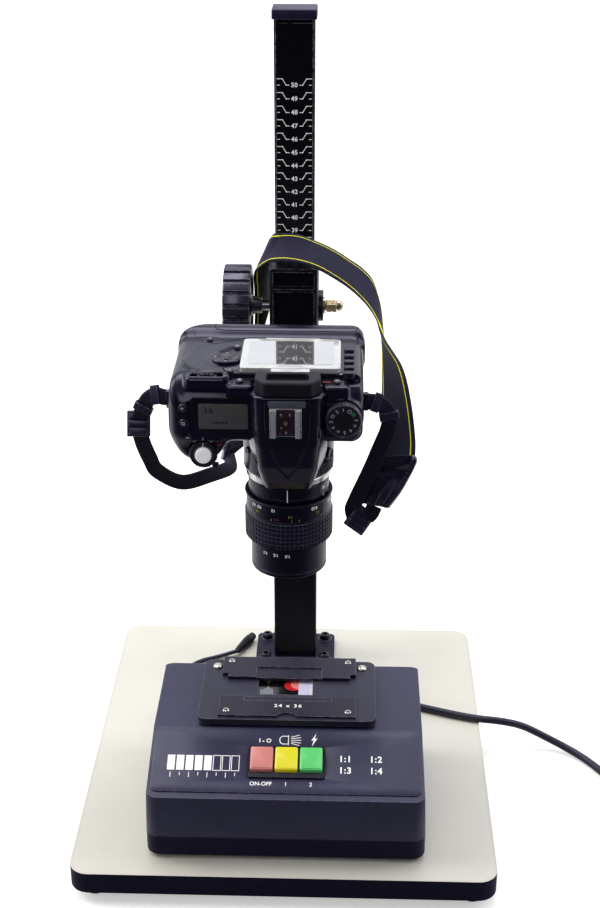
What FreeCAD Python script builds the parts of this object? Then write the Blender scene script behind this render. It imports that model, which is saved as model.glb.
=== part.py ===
import FreeCAD, Part
import Sketcher
import math
import os
import re

# Slide duplicator: a copy stand with a light unit on its board and a camera on its carriage.
# Millimetres. Origin at the middle of the footprint, on the surface the feet stand on.
# +X to the user's right, +Y from the user towards the column, +Z up.

SIZES = {
    # board
    "board_wide": 307.0,
    "board_deep": 330.0,
    "board_thick": 17.0,
    "board_corner": 14.0,
    "edge_thick": 2.0,
    "foot_tall": 9.0,
    "foot_wide": 18.0,
    "foot_inset": 17.0,
    "foot_taper": 1.0,
    # column
    "column_wide": 30.0,
    "column_deep": 23.0,
    "column_wall": 2.5,
    "column_bevel": 1.5,
    "column_tall": 547.0,
    "column_inset": 41.0,
    "socket_wall": 3.0,
    "socket_round": 2.1,
    "socket_tall": 125.0,
    "flange_wide": 68.0,
    "flange_deep": 46.5,
    "flange_thick": 6.0,
    "flange_corner": 5.0,
    "base_bolt_wide": 6.0,
    "base_bolt_head": 9.6,
    "base_bolt_dome": 5.0,
    "base_bolt_round": 3.0,
    "base_bolt_inset_x": 8.6,
    "base_bolt_inset_y": 7.4,
    "base_bolt_margin": 3.0,
    "cap_overhang": 1.5,
    "cap_tall": 7.0,
    "cap_plug": 15.0,
    "strip_thick": 0.6,
    "strip_margin": 3.0,
    # carriage
    "carriage_up": 292.0,
    "carriage_side": 3.5,
    "carriage_ahead": 26.5,
    "carriage_behind": 6.0,
    "carriage_tall": 76.0,
    "carriage_corner": 2.0,
    "slide_gap": 0.35,
    "axle_up": 40.4,
    "axle_ahead": 8.0,
    "axle_wide": 8.0,
    "running_gap": 0.05,
    "roller_gap": 0.3,
    "roller_wide": 14.0,
    "roller_room": 1.2,
    "pocket_deep": 6.5,
    "pocket_rib": 2.6,
    "pocket_wall": 3.0,
    "pocket_up": 26.0,
    "pocket_split": 58.5,
    "boss_wide": 24.0,
    "boss_proud": 4.0,
    "knob_wide": 63.0,
    "knob_thick": 20.8,
    "knob_gap": 14.6,
    "knob_flutes": 25.0,
    "flute_wide": 3.4,
    "flute_deep": 1.5,
    "knob_bore_deep": 12.0,
    "hub_wide": 15.0,
    "hub_thick": 8.2,
    "hub_taper": 1.5,
    "stud_wide": 9.4,
    "stud_collar": 13.0,
    "stud_collar_thick": 1.6,
    "stud_dome": 2.5,
    "stud_root": 7.0,
    "stud_out": 15.2,
    # camera arm and screw
    "arm_wide": 30.0,
    "arm_thick": 18.0,
    "arm_up": 3.0,
    "arm_corner": 3.0,
    "plate_wide": 46.0,
    "plate_thick": 6.0,
    "plate_tall": 46.0,
    "plate_corner": 5.0,
    "screw_wide": 6.35,
    "screw_up": 36.5,
    "screw_reach": 6.0,
    "screw_head_wide": 22.0,
    "screw_head_tall": 9.0,
    "screw_head_dome": 1.5,
    "screw_room": 3.0,
    # camera
    "lens_x": 1.2,
    "lens_reach": 160.5,
    "camera_reach": 100.5,
    "camera_wide": 131.0,
    "camera_shift": -14.0,
    "camera_tall": 100.0,
    "camera_deep": 49.0,
    "camera_up": 8.0,
    "camera_corner": 9.0,
    "camera_wall": 5.0,
    "grip_wide": 30.0,
    "grip_drop": 17.0,
    "grip_short": 4.0,
    "grip_corner": 9.0,
    "ridge_tall": 6.5,
    "ridge_deep": 9.0,
    "ridge_corner": 3.0,
    "boss_radius": 34.0,
    "throat_radius": 20.0,
    "back_thick": 4.0,
    "back_margin": 2.0,
    "back_down": 15.0,
    "cover_wide": 68.0,
    "cover_deep": 54.0,
    "cover_thick": 4.0,
    "cover_corner": 3.0,
    "cover_right": 1.8,
    "cover_up": 17.0,
    "eye_wide": 44.0,
    "eye_deep": 22.0,
    "eye_tall": 11.0,
    "eye_drop": 7.0,
    "eye_corner": 5.0,
    "eye_right": 1.0,
    "eye_window_wide": 30.0,
    "eye_window_deep": 12.0,
    "prism_wide": 48.0,
    "prism_nose": 36.0,
    "prism_proud": 10.5,
    "prism_drop": 31.0,
    "prism_slope": 45.0,
    "prism_nose_deep": 4.0,
    "prism_tuck": 5.7,
    "shoe_wide": 21.0,
    "shoe_long": 20.0,
    "shoe_floor": 0.9,
    "shoe_tall": 4.0,
    "shoe_slot_wide": 18.7,
    "shoe_slot_tall": 2.1,
    "shoe_mouth_wide": 12.7,
    "shoe_down": 24.0,
    "dial_radius": 12.4,
    "dial_tall": 6.5,
    "dial_dome": 0.8,
    "dial_right": 38.0,
    "dial_down": 25.0,
    "spindle_wide": 5.0,
    "spindle_deep": 4.0,
    "wheel_radius": 10.0,
    "wheel_thick": 4.6,
    "wheel_left": 53.0,
    "wheel_proud": 2.6,
    "wheel_inset": 10.0,
    "wheel_room": 0.6,
    "pivot_step": 1.0,
    "release_radius": 5.6,
    "release_tall": 4.6,
    "release_dome": 1.5,
    "release_travel": 1.2,
    "release_left": 56.0,
    "release_down": 54.0,
    "ring_gap": 0.4,
    "ring_radius": 9.6,
    "ring_tall": 3.2,
    "pad_radius": 9.0,
    "pad_proud": 3.0,
    "pad_left": 42.0,
    "pad_down": 36.0,
    "pad_travel": 0.8,
    "pad_dome": 1.0,
    "pad_lift": 0.3,
    "press_room": 0.1,
    "key_radius": 2.7,
    "key_proud": 1.4,
    "key_gap": 0.35,
    "lug_out": 4.0,
    "lug_wide": 4.0,
    "lug_tall": 13.0,
    "lug_back": 72.0,
    "lug_up": 24.0,
    # lens
    "mount_radius": 30.0,
    "mount_drop": 36.0,
    "mount_thick": 6.0,
    "tube_radius": 24.0,
    "tube_wall": 3.0,
    "tube_long": 33.0,
    "lens_gap": 0.3,
    "aperture_radius": 28.5,
    "aperture_long": 11.0,
    "focus_radius": 31.2,
    "focus_wall": 3.2,
    "focus_long": 35.0,
    "focus_hub": 4.0,
    "barrel_radius": 27.0,
    "barrel_wall": 1.0,
    "barrel_long": 34.0,
    "barrel_out": 24.8,
    "thread_deep": 6.0,
    "cell_thick": 7.0,
    "glass_thick": 5.0,
    "glass_radius": 17.0,
    "glass_dome": 2.0,
    "glass_step": 1.0,
    # light unit
    "unit_x": 1.5,
    "unit_rear": 10.0,
    "unit_deep": 136.0,
    "unit_wide": 201.0,
    "unit_top_wide": 196.0,
    "unit_wall": 2.6,
    "unit_lift": 2.0,
    "unit_seam": 17.0,
    "unit_front": 52.0,
    "unit_tall": 75.0,
    "unit_slope_run": 53.0,
    "unit_corner": 9.0,
    "pad_foot_wide": 14.0,
    "pad_foot_inset": 22.0,
    "panel_wide": 193.0,
    "panel_deep": 52.0,
    "panel_thick": 1.2,
    "panel_corner": 4.0,
    "switch_wide": 54.0,
    "switch_deep": 25.0,
    "switch_down": 28.8,
    "switch_proud": 2.4,
    "switch_body": 13.0,
    "switch_floor": 1.5,
    "key_pitch": 17.8,
    "cap_wide": 16.6,
    "cap_deep": 19.0,
    "cap_back": 1.5,
    "cap_proud": 5.6,
    "cap_gap": 0.35,
    "cap_stem": 6.0,
    # stage
    "stage_x": 0.5,
    "stage_wide": 130.5,
    "stage_deep": 78.0,
    "stage_corner": 6.0,
    "stage_thick": 4.5,
    "stage_lift": 2.0,
    "stage_margin": 8.0,
    "stage_rear": 4.0,
    "gate_x": -1.8,
    "gate_wide": 41.0,
    "gate_deep": 24.0,
    "gate_back": 33.6,
    "film_wide": 35.0,
    "film_long": 120.0,
    "film_thick": 0.4,
    "film_gap": 0.2,
    "film_floor": 1.8,
    "rear_rail_wide": 101.5,
    "rear_rail_deep": 27.0,
    "rear_rail_tall": 3.0,
    "rear_rail_notch": 4.5,
    "front_rail_wide": 101.0,
    "front_rail_deep": 25.0,
    "front_rail_gap": 4.3,
    "front_rail_tall": 1.6,
    "clamp_wide": 49.4,
    "clamp_deep": 13.5,
    "clamp_thick": 2.0,
    "clamp_gap": 0.3,
    "clamp_travel": 4.0,
    "finger_radius": 9.0,
    "finger_deep": 4.0,
    "frame_line_deep": 6.0,
    "stage_screw_wide": 3.0,
    "stage_screw_head": 4.6,
    "stage_screw_inset": 6.0,
    "stage_pin_wide": 7.0,
    "stage_pin_dome": 2.2,
    "stage_pin_inset": 9.8,
    # inside the light unit
    "well_wall": 1.5,
    "well_margin": 2.0,
    "well_tall": 40.0,
    "diffuser_thick": 2.0,
    "diffuser_down": 6.0,
    "flash_wide": 6.0,
    "flash_ahead": 9.0,
    "lamp_behind": 8.0,
    "trough_thick": 3.0,
    "trough_wide": 64.0,
    "trough_deep": 44.0,
    "lamp_wide": 12.0,
    "lamp_long": 22.0,
    "lamp_base_long": 4.0,
    "lamp_base_step": 1.0,
    "core_wide": 46.0,
    "core_deep": 38.0,
    "core_tall": 28.0,
    "winding_wide": 32.0,
    "winding_deep": 48.0,
    "winding_tall": 22.0,
    "winding_corner": 4.0,
    "winding_up": 3.0,
    "core_behind": 22.0,
    "board_behind": 4.0,
    "post_wide": 6.0,
    "post_inset": 5.0,
    "capacitor_sunk": 0.4,
    "circuit_margin": 2.8,
    "circuit_deep": 90.0,
    "circuit_thick": 1.6,
    "post_tall": 8.0,
    "capacitor_wide": 30.0,
    "capacitor_long": 55.0,
    # leads
    "gland_wide": 12.0,
    "gland_tip": 8.0,
    "gland_long": 22.0,
    "gland_rim_thick": 2.0,
    "gland_nut": 4.0,
    "gland_lip": 0.9,
    "gland_right": 25.0,
    "gland_up": 9.8,
    "mains_wide": 6.0,
    "plug_wide": 35.0,
    "plug_deep": 14.0,
    "plug_long": 36.0,
    "pin_wide": 4.0,
    "pin_long": 19.0,
    "pin_apart": 18.6,
    "coil_x": 309.0,
    "coil_y": -26.0,
    "coil_middle": 36.0,
    "coil_band": 18.6,
    "coil_tall": 12.6,
    "sync_wide": 3.5,
    "sync_left": 64.0,
    "sync_sleeve_wide": 8.0,
    "sync_gland_long": 14.0,
    "sync_plug_wide": 9.0,
    "sync_plug_long": 22.0,
    "sync_tip_long": 5.0,
    # strap
    "strap_thick": 2.4,
    "webbing_thick": 1.6,
    "webbing_wide": 11.0,
    "buckle_wide": 16.0,
    "buckle_long": 18.0,
    "buckle_thick": 6.0,
    # how far a cutting tool or a fused root runs past its face
    "over": 1.0,
}

# Places worked out from the sizes. Each is a formula in the second sheet.
PLACES = {
    "board_top": "foot_tall + board_thick",
    "column_y": "board_deep / 2 - column_inset",
    "column_face": "column_y - column_deep / 2",
    "column_top": "board_top + column_tall",
    "socket_top": "board_top + socket_tall",
    "strip_wide": "column_wide - 2 * column_bevel - 0.2",
    "bolt_half_x": "flange_wide / 2 - base_bolt_inset_x",
    "bolt_half_y": "flange_deep / 2 - base_bolt_inset_y",
    "carriage_low": "board_top + carriage_up",
    "carriage_top": "carriage_low + carriage_tall",
    "carriage_wide": "column_wide + 2 * carriage_side",
    "carriage_front": "column_face - carriage_ahead",
    "carriage_back": "column_y + column_deep / 2 + carriage_behind",
    "axle_y": "column_face - axle_ahead",
    "axle_z": "carriage_low + axle_up",
    "roller_radius": "axle_ahead - roller_gap",
    "cavity_half": "roller_wide / 2 + roller_room",
    "knob_in_x": "-carriage_wide / 2 - knob_gap",
    "camera_base_y": "column_face - camera_reach",
    "camera_top_y": "camera_base_y - camera_tall",
    "camera_mid_y": "camera_base_y - camera_tall / 2",
    "lens_y": "column_face - lens_reach",
    "camera_front_z": "carriage_low + camera_up",
    "camera_back_z": "camera_front_z + camera_deep",
    "camera_x": "lens_x + camera_shift",
    "camera_left": "camera_x - camera_wide / 2",
    "camera_right": "camera_x + camera_wide / 2",
    "plate_low": "carriage_low + arm_up",
    "screw_z": "carriage_low + screw_up",
    "prism_y": "camera_top_y - prism_proud",
    "back_wide": "camera_wide - 2 * camera_corner - 2 * back_margin",
    "back_low_y": "camera_base_y - ridge_deep - back_margin",
    "back_deep": "camera_tall - ridge_deep - back_margin - back_down",
    "back_mid_y": "back_low_y - back_deep / 2",
    "grip_top_y": "camera_top_y + grip_short",
    "release_z": "camera_back_z - release_down",
    "wheel_z": "camera_back_z + wheel_proud - wheel_radius",
    "mount_z": "camera_front_z - mount_drop",
    "tube_low": "mount_z + mount_thick - tube_long",
    "aperture_low": "mount_z - lens_gap - aperture_long",
    "focus_top": "aperture_low - lens_gap",
    "focus_low": "focus_top - focus_long",
    "rim_z": "focus_low - barrel_out",
    "barrel_inner": "barrel_radius - barrel_wall",
    "unit_rear_y": "-unit_rear",
    "unit_front_y": "-unit_rear - unit_deep",
    "unit_mid_y": "-unit_rear - unit_deep / 2",
    "unit_low": "board_top + unit_lift",
    "seam_z": "unit_low + unit_seam",
    "unit_top": "unit_low + unit_tall",
    "crease_y": "unit_front_y + unit_slope_run",
    "slope_fall": "unit_tall - unit_front",
    "slope_turn": "atan(slope_fall / unit_slope_run)",
    "stage_back_y": "unit_rear_y - stage_rear",
    "stage_mid_y": "stage_back_y - stage_deep / 2",
    "stage_low": "unit_top + stage_lift",
    "stage_top": "stage_low + stage_thick",
    "gate_y": "stage_back_y - gate_back",
    "clamp_back_y": "stage_back_y - rear_rail_deep + clamp_deep",
    "front_rail_back_y": "gate_y - gate_deep / 2 - front_rail_gap",
    "screw_half": "rear_rail_wide / 2 - stage_screw_inset",
    "well_top": "unit_top - unit_wall",
    "trough_top": "well_top - well_tall",
    "trough_left": "gate_x - trough_wide / 2",
    "trough_right": "gate_x + trough_wide / 2",
    "room_left": "unit_x - unit_wide / 2 + unit_wall",
    "room_right": "unit_x + unit_wide / 2 - unit_wall",
    "core_x": "(trough_right + room_right) / 2",
    "circuit_x": "(trough_left + room_left) / 2",
    "circuit_wide": "trough_left - room_left - 2 * circuit_margin",
    "gland_z": "unit_low + gland_up",
}

doc = FreeCAD.newDocument("slide_duplicator")
sizes = doc.addObject("Spreadsheet::Sheet", "Sizes")
places = doc.addObject("Spreadsheet::Sheet", "Places")
outlines = doc.addObject("Spreadsheet::Sheet", "Outlines")
WORD = re.compile(r"[a-z][a-z_]*[a-z]")
NODES = []


def in_sheets(formula):
    """A formula with each size and place named by its sheet."""

    def named(match):
        word = match.group()
        if word in SIZES:
            return "Sizes." + word
        return "Places." + word if word in PLACES else word

    return WORD.sub(named, str(formula))


for row, (name, number) in enumerate(SIZES.items(), start=1):
    sizes.set(f"A{row}", name)
    sizes.set(f"B{row}", str(number))
    sizes.setAlias(f"B{row}", name)
doc.recompute()
for row, (name, formula) in enumerate(PLACES.items(), start=1):
    places.set(f"A{row}", name)
    places.setAlias(f"B{row}", name)
    places.set(f"B{row}", "=" + in_sheets(formula))
doc.recompute()


def size(name):
    """The number that a size or a place has now."""
    found = getattr(sizes if name in SIZES else places, name)
    return float(getattr(found, "Value", found))


# ---- helpers ---------------------------------------------------------------------------


def bind(piece, **formulas):
    for prop, formula in formulas.items():
        piece.setExpression(prop.replace("__", "."), in_sheets(formula))
    return piece


def move(piece, x=0, y=0, z=0):
    for axis, formula in zip("xyz", (x, y, z)):
        piece.setExpression("Placement.Base." + axis, in_sheets(formula))
    return piece


AIM = {
    "+z": FreeCAD.Rotation(),
    "-z": FreeCAD.Rotation(FreeCAD.Vector(1, 0, 0), 180),
    "+x": FreeCAD.Rotation(FreeCAD.Vector(0, 1, 0), 90),
    "-x": FreeCAD.Rotation(FreeCAD.Vector(0, 1, 0), -90),
    "+y": FreeCAD.Rotation(FreeCAD.Vector(1, 0, 0), -90),
    "-y": FreeCAD.Rotation(FreeCAD.Vector(1, 0, 0), 90),
}


def aim(piece, way):
    """Turns a piece that was drawn along +Z to point another way."""
    piece.Placement = FreeCAD.Placement(FreeCAD.Vector(), AIM[way])
    return piece


def node(name, piece):
    """Makes a finished piece a sub-part: its Label names its file."""
    doc.recompute()
    piece.Label = name
    NODES.append(piece)
    return piece


def block(name, wide, deep, tall, x=0, y=0, z=0):
    """A box: x and y are its middle, z is its underside."""
    piece = doc.addObject("Part::Box", name)
    bind(piece, Length=wide, Width=deep, Height=tall)
    return move(piece, f"({x}) - ({wide}) / 2", f"({y}) - ({deep}) / 2", z)


def rod(name, radius, length, x=0, y=0, z=0, way="+z"):
    """A cylinder that starts at x, y, z and runs the way given."""
    piece = aim(doc.addObject("Part::Cylinder", name), way)
    bind(piece, Radius=radius, Height=length)
    return move(piece, x, y, z)


def taper(name, start, end, length, x=0, y=0, z=0, way="+z"):
    """A cone frustum from radius start to radius end."""
    piece = aim(doc.addObject("Part::Cone", name), way)
    bind(piece, Radius1=start, Radius2=end, Height=length)
    return move(piece, x, y, z)


def cut(name, base, *tools):
    piece = doc.addObject("Part::Cut", name)
    piece.Base = base
    piece.Tool = tools[0] if len(tools) == 1 else join(name + "_tools", *tools)
    return piece


def join(name, *pieces):
    piece = doc.addObject("Part::MultiFuse", name)
    piece.Shapes = list(pieces)
    return piece


def shared(name, one, other):
    piece = doc.addObject("Part::Common", name)
    piece.Base = one
    piece.Tool = other
    return piece


def group(name, pieces):
    """Separate solids that make one sub-part."""
    piece = doc.addObject("Part::Compound", name)
    piece.Links = list(pieces)
    return piece


def new_body(name):
    return doc.addObject("PartDesign::Body", name)


def feature(body, kind, name, **formulas):
    """A PartDesign primitive or dress-up in a body."""
    made = body.newObject("PartDesign::" + kind, name)
    return bind(made, **formulas)


def add_box(body, kind, name, wide, deep, tall, x=0, y=0, z=0):
    made = feature(body, kind, name, Length=wide, Width=deep, Height=tall)
    move(made, f"({x}) - ({wide}) / 2", f"({y}) - ({deep}) / 2", z)
    return made


def edges_along(shape, axis):
    """Names of the straight edges that run along an axis."""
    found = []
    for index, edge in enumerate(shape.Edges, start=1):
        if not isinstance(edge.Curve, Part.Line):
            continue
        direction = edge.Curve.Direction
        if abs(abs(direction.dot(axis)) - 1) < 1e-6:
            found.append(f"Edge{index}")
    return found


UPRIGHT = FreeCAD.Vector(0, 0, 1)
ACROSS = FreeCAD.Vector(1, 0, 0)
INWARD = FreeCAD.Vector(0, 1, 0)


def round_edges(body, base, names, radius, name):
    doc.recompute()
    made = feature(body, "Fillet", name, Radius=radius)
    made.Base = (base, names)
    return made


def rounded(name, wide, deep, tall, corner, x=0, y=0, z=0, axis=UPRIGHT):
    """A block with the four edges along one axis rounded."""
    body = new_body(name)
    base = add_box(body, "AdditiveBox", name + "_box", wide, deep, tall)
    doc.recompute()
    round_edges(body, base, edges_along(base.Shape, axis), corner, name + "_corners")
    return move(body, x, y, z)


def domed(name, radius, tall, dome, x=0, y=0, z=0, way="+z"):
    """A disc with its far rim rounded over, such as a bolt's head."""
    body = aim(new_body(name), way)
    base = feature(body, "AdditiveCylinder", name + "_disc", Radius=radius, Height=tall)
    doc.recompute()
    rims = [
        (edge.CenterOfMass.z, index)
        for index, edge in enumerate(base.Shape.Edges, start=1)
        if isinstance(edge.Curve, Part.Circle)
    ]
    round_edges(body, base, [f"Edge{max(rims)[1]}"], dome, name + "_dome")
    return move(body, x, y, z)


PLANES = {"side": "YZ_Plane", "front": "XZ_Plane", "top": "XY_Plane"}


def extruded(name, plane, outline, length, x=0, y=0, z=0):
    """A pad of an outline, half of its length to each side of the plane it is drawn on.

    The outline is a list of pairs of formulas: (Y, Z) on the side plane, (X, Z) on the front plane and
    (X, Y) on the top plane. Each goes into a cell of its own, which the sketch's constraints follow."""
    body = new_body(name)
    sketch = body.newObject("Sketcher::SketchObject", name + "_outline")
    roles = {plane.Role: plane for plane in body.Origin.OriginFeatures}
    sketch.AttachmentSupport = (roles[PLANES[plane]], [""])
    sketch.MapMode = "FlatFace"
    cells = []
    for index, pair in enumerate(outline):
        for side, formula in zip("uv", pair):
            row = len(outlines.getUsedCells()) + 1
            alias = f"{name}_{side}{index}_at"
            outlines.setAlias(f"A{row}", alias)
            outlines.set(f"A{row}", "=" + in_sheets(formula))
            cells.append(alias)
    doc.recompute()
    numbers = [float(getattr(outlines, alias)) for alias in cells]
    corners = [FreeCAD.Vector(u, v, 0) for u, v in zip(numbers[::2], numbers[1::2])]
    for here, there in zip(corners, corners[1:] + corners[:1]):
        sketch.addGeometry(Part.LineSegment(here, there), False)
    for index, corner in enumerate(corners):
        following = (index + 1) % len(corners)
        sketch.addConstraint(Sketcher.Constraint("Coincident", index, 2, following, 1))
    for index, corner in enumerate(corners):
        for kind, now, alias in (
            ("DistanceX", corner.x, cells[2 * index]),
            ("DistanceY", corner.y, cells[2 * index + 1]),
        ):
            held = Sketcher.Constraint(kind, -1, 1, index, 1, now)
            at = sketch.addConstraint(held)
            sketch.setExpression(f"Constraints[{at}]", "Outlines." + alias)
    pad = feature(body, "Pad", name + "_pad", Length=length)
    pad.Profile = sketch
    pad.Midplane = True
    return move(body, x, y, z)


# ---- board ------------------------------------------------------------------------------


def bolt_holes(name, radius, low, tall):
    """The four holes of the column's base bolts."""
    return [
        rod(f"{name}_{i}", radius, tall, f"{i % 2 * 2 - 1} * bolt_half_x",
            f"column_y + {i // 2 * 2 - 1} * bolt_half_y", low)
        for i in range(4)
    ]


def make_board():
    core = rounded(
        "board_core", "board_wide - 2 * edge_thick", "board_deep - 2 * edge_thick", "board_thick",
        "board_corner - edge_thick", z="foot_tall",
    )
    pilots = bolt_holes("board_pilot", "base_bolt_wide / 2", "foot_tall - over", "board_thick + 2 * over")
    node("baseboard", cut("board_drilled", core, *pilots))
    outside = rounded(
        "edge_outside", "board_wide", "board_deep", "board_thick", "board_corner", z="foot_tall"
    )
    inside = rounded(
        "edge_inside", "board_wide - 2 * edge_thick", "board_deep - 2 * edge_thick",
        "board_thick + 2 * over", "board_corner - edge_thick", z="foot_tall - over",
    )
    node("edge_band", cut("edge_ring", outside, inside))
    feet = [
        taper(f"board_foot_{i}", "foot_wide / 2 - foot_taper", "foot_wide / 2", "foot_tall",
              f"{i % 2 * 2 - 1} * (board_wide / 2 - foot_inset)",
              f"{i // 2 * 2 - 1} * (board_deep / 2 - foot_inset)")
        for i in range(4)
    ]
    feet += [
        rod(f"unit_foot_{i}", "pad_foot_wide / 2", "unit_lift",
            f"unit_x + {i % 2 * 2 - 1} * (unit_wide / 2 - pad_foot_inset)",
            f"unit_mid_y + {i // 2 * 2 - 1} * (unit_deep / 2 - pad_foot_inset)", "board_top")
        for i in range(4)
    ]
    node("rubber_feet", group("feet", feet))


# ---- column -----------------------------------------------------------------------------


def make_column():
    flange = rounded(
        "flange", "flange_wide", "flange_deep", "flange_thick", "flange_corner",
        y="column_y", z="board_top",
    )
    socket = rounded(
        "socket", "column_wide + 2 * socket_wall", "column_deep + 2 * socket_wall", "socket_tall",
        "socket_round", y="column_y", z="board_top",
    )
    hollow = block("socket_hollow", "column_wide", "column_deep", "socket_tall + 2 * over",
                   y="column_y", z="board_top - over")
    holes = bolt_holes("flange_hole", "base_bolt_wide / 2", "board_top - over", "flange_thick + 2 * over")
    node("column_base", cut("base_cut", join("base_solid", flange, socket), hollow, *holes))

    bolts = []
    for i in range(4):
        at = {"x": f"{i % 2 * 2 - 1} * bolt_half_x", "y": f"column_y + {i // 2 * 2 - 1} * bolt_half_y"}
        shank = rod(f"base_shank_{i}", "base_bolt_wide / 2",
                    "flange_thick + board_thick - base_bolt_margin + over",
                    z="foot_tall + base_bolt_margin", **at)
        head = domed(f"base_head_{i}", "base_bolt_head / 2", "base_bolt_dome",
                     "base_bolt_round", z="board_top + flange_thick", **at)
        bolts.append(join(f"base_bolt_{i}", shank, head))
    node("base_bolts", group("bolts", bolts))

    tube = new_body("tube")
    outside = add_box(tube, "AdditiveBox", "tube_outside", "column_wide", "column_deep", "column_tall")
    doc.recompute()
    bevel = feature(tube, "Chamfer", "tube_bevel", Size="column_bevel")
    bevel.Base = (outside, edges_along(outside.Shape, UPRIGHT))
    add_box(tube, "SubtractiveBox", "tube_hollow", "column_wide - 2 * column_wall",
            "column_deep - 2 * column_wall", "column_tall + 2 * over", z="-over")
    add_box(tube, "SubtractiveBox", "tube_recess", "strip_wide", "strip_thick",
            "column_tall - socket_tall - 2 * strip_margin",
            y="strip_thick / 2 - column_deep / 2", z="socket_tall + strip_margin")
    node("column", move(tube, y="column_y", z="board_top"))
    node("scale_strip", block(
        "strip", "strip_wide", "strip_thick", "column_tall - socket_tall - 2 * strip_margin",
        y="column_face + strip_thick / 2", z="socket_top + strip_margin",
    ))
    lid = rounded("cap_lid", "column_wide + 2 * cap_overhang", "column_deep + 2 * cap_overhang",
                  "cap_tall", "cap_overhang", y="column_y", z="column_top")
    plug = block("cap_inside", "column_wide - 2 * column_wall", "column_deep - 2 * column_wall",
                 "cap_plug + over", y="column_y", z="column_top - cap_plug")
    node("column_cap", join("cap_solid", lid, plug))


# ---- carriage ---------------------------------------------------------------------------


def make_carriage():
    shell = rounded(
        "housing_shell", "carriage_wide", "carriage_back - carriage_front", "carriage_tall",
        "carriage_corner", y="(carriage_front + carriage_back) / 2", z="carriage_low",
    )
    boss = rod("housing_boss", "boss_wide / 2", "boss_proud + over", "carriage_wide / 2 - over",
               "axle_y", "axle_z", "+x")
    bore = block("housing_bore", "column_wide + 2 * slide_gap", "column_deep + 2 * slide_gap",
                 "carriage_tall + 2 * over", y="column_y", z="carriage_low - over")
    cavity = block("housing_cavity", "2 * cavity_half",
                   "column_face - axle_y + roller_radius + roller_room",
                   "2 * (roller_radius + roller_room)",
                   y="(column_face + axle_y - roller_radius - roller_room) / 2",
                   z="axle_z - roller_radius - roller_room")
    axle_hole = rod("axle_hole", "axle_wide / 2 + running_gap", "carriage_wide / 2 + cavity_half",
                    "cavity_half", "axle_y", "axle_z", "-x")
    stud_hole = rod("stud_hole", "stud_root / 2 + running_gap", "carriage_wide / 2 + boss_proud",
                    "cavity_half", "axle_y", "axle_z", "+x")
    low_pocket = block("low_pocket", "carriage_wide - 2 * pocket_wall", "pocket_deep + over",
                       "pocket_split - pocket_up - pocket_rib / 2",
                       y="carriage_front + (pocket_deep - over) / 2", z="carriage_low + pocket_up")
    high_pocket = block("high_pocket", "carriage_wide - 2 * pocket_wall", "pocket_deep + over",
                        "carriage_tall - pocket_wall - pocket_split - pocket_rib / 2",
                        y="carriage_front + (pocket_deep - over) / 2",
                        z="carriage_low + pocket_split + pocket_rib / 2")
    node("carriage_housing", cut(
        "housing_cut", join("housing_solid", shell, boss), bore, cavity, axle_hole, stud_hole,
        low_pocket, high_pocket,
    ))

    reach = "carriage_front - camera_base_y - plate_thick"
    arm = rounded("arm_bar", "arm_wide", reach, "arm_thick", "arm_corner",
                  y=f"carriage_front - ({reach}) / 2", z="plate_low", axis=INWARD)
    plate = rounded("arm_plate", "plate_wide", "plate_thick", "plate_tall", "plate_corner",
                    y="camera_base_y + plate_thick / 2", z="plate_low", axis=INWARD)
    hole = rod("arm_hole", "screw_wide / 2 + running_gap", "plate_thick + 2 * over", "lens_x",
               "camera_base_y - over", "screw_z", "+y")
    node("camera_arm", cut("arm_cut", join("arm_solid", arm, plate), hole))

    shank = rod("screw_shank", "screw_wide / 2", "screw_reach + plate_thick + over", "lens_x",
                "camera_base_y + plate_thick + over", "screw_z", "-y")
    head = domed("screw_head", "screw_head_wide / 2", "screw_head_tall", "screw_head_dome", "lens_x",
                 "camera_base_y + plate_thick + lens_gap", "screw_z", "+y")
    node("camera_screw", join("screw_solid", shank, head))


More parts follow.
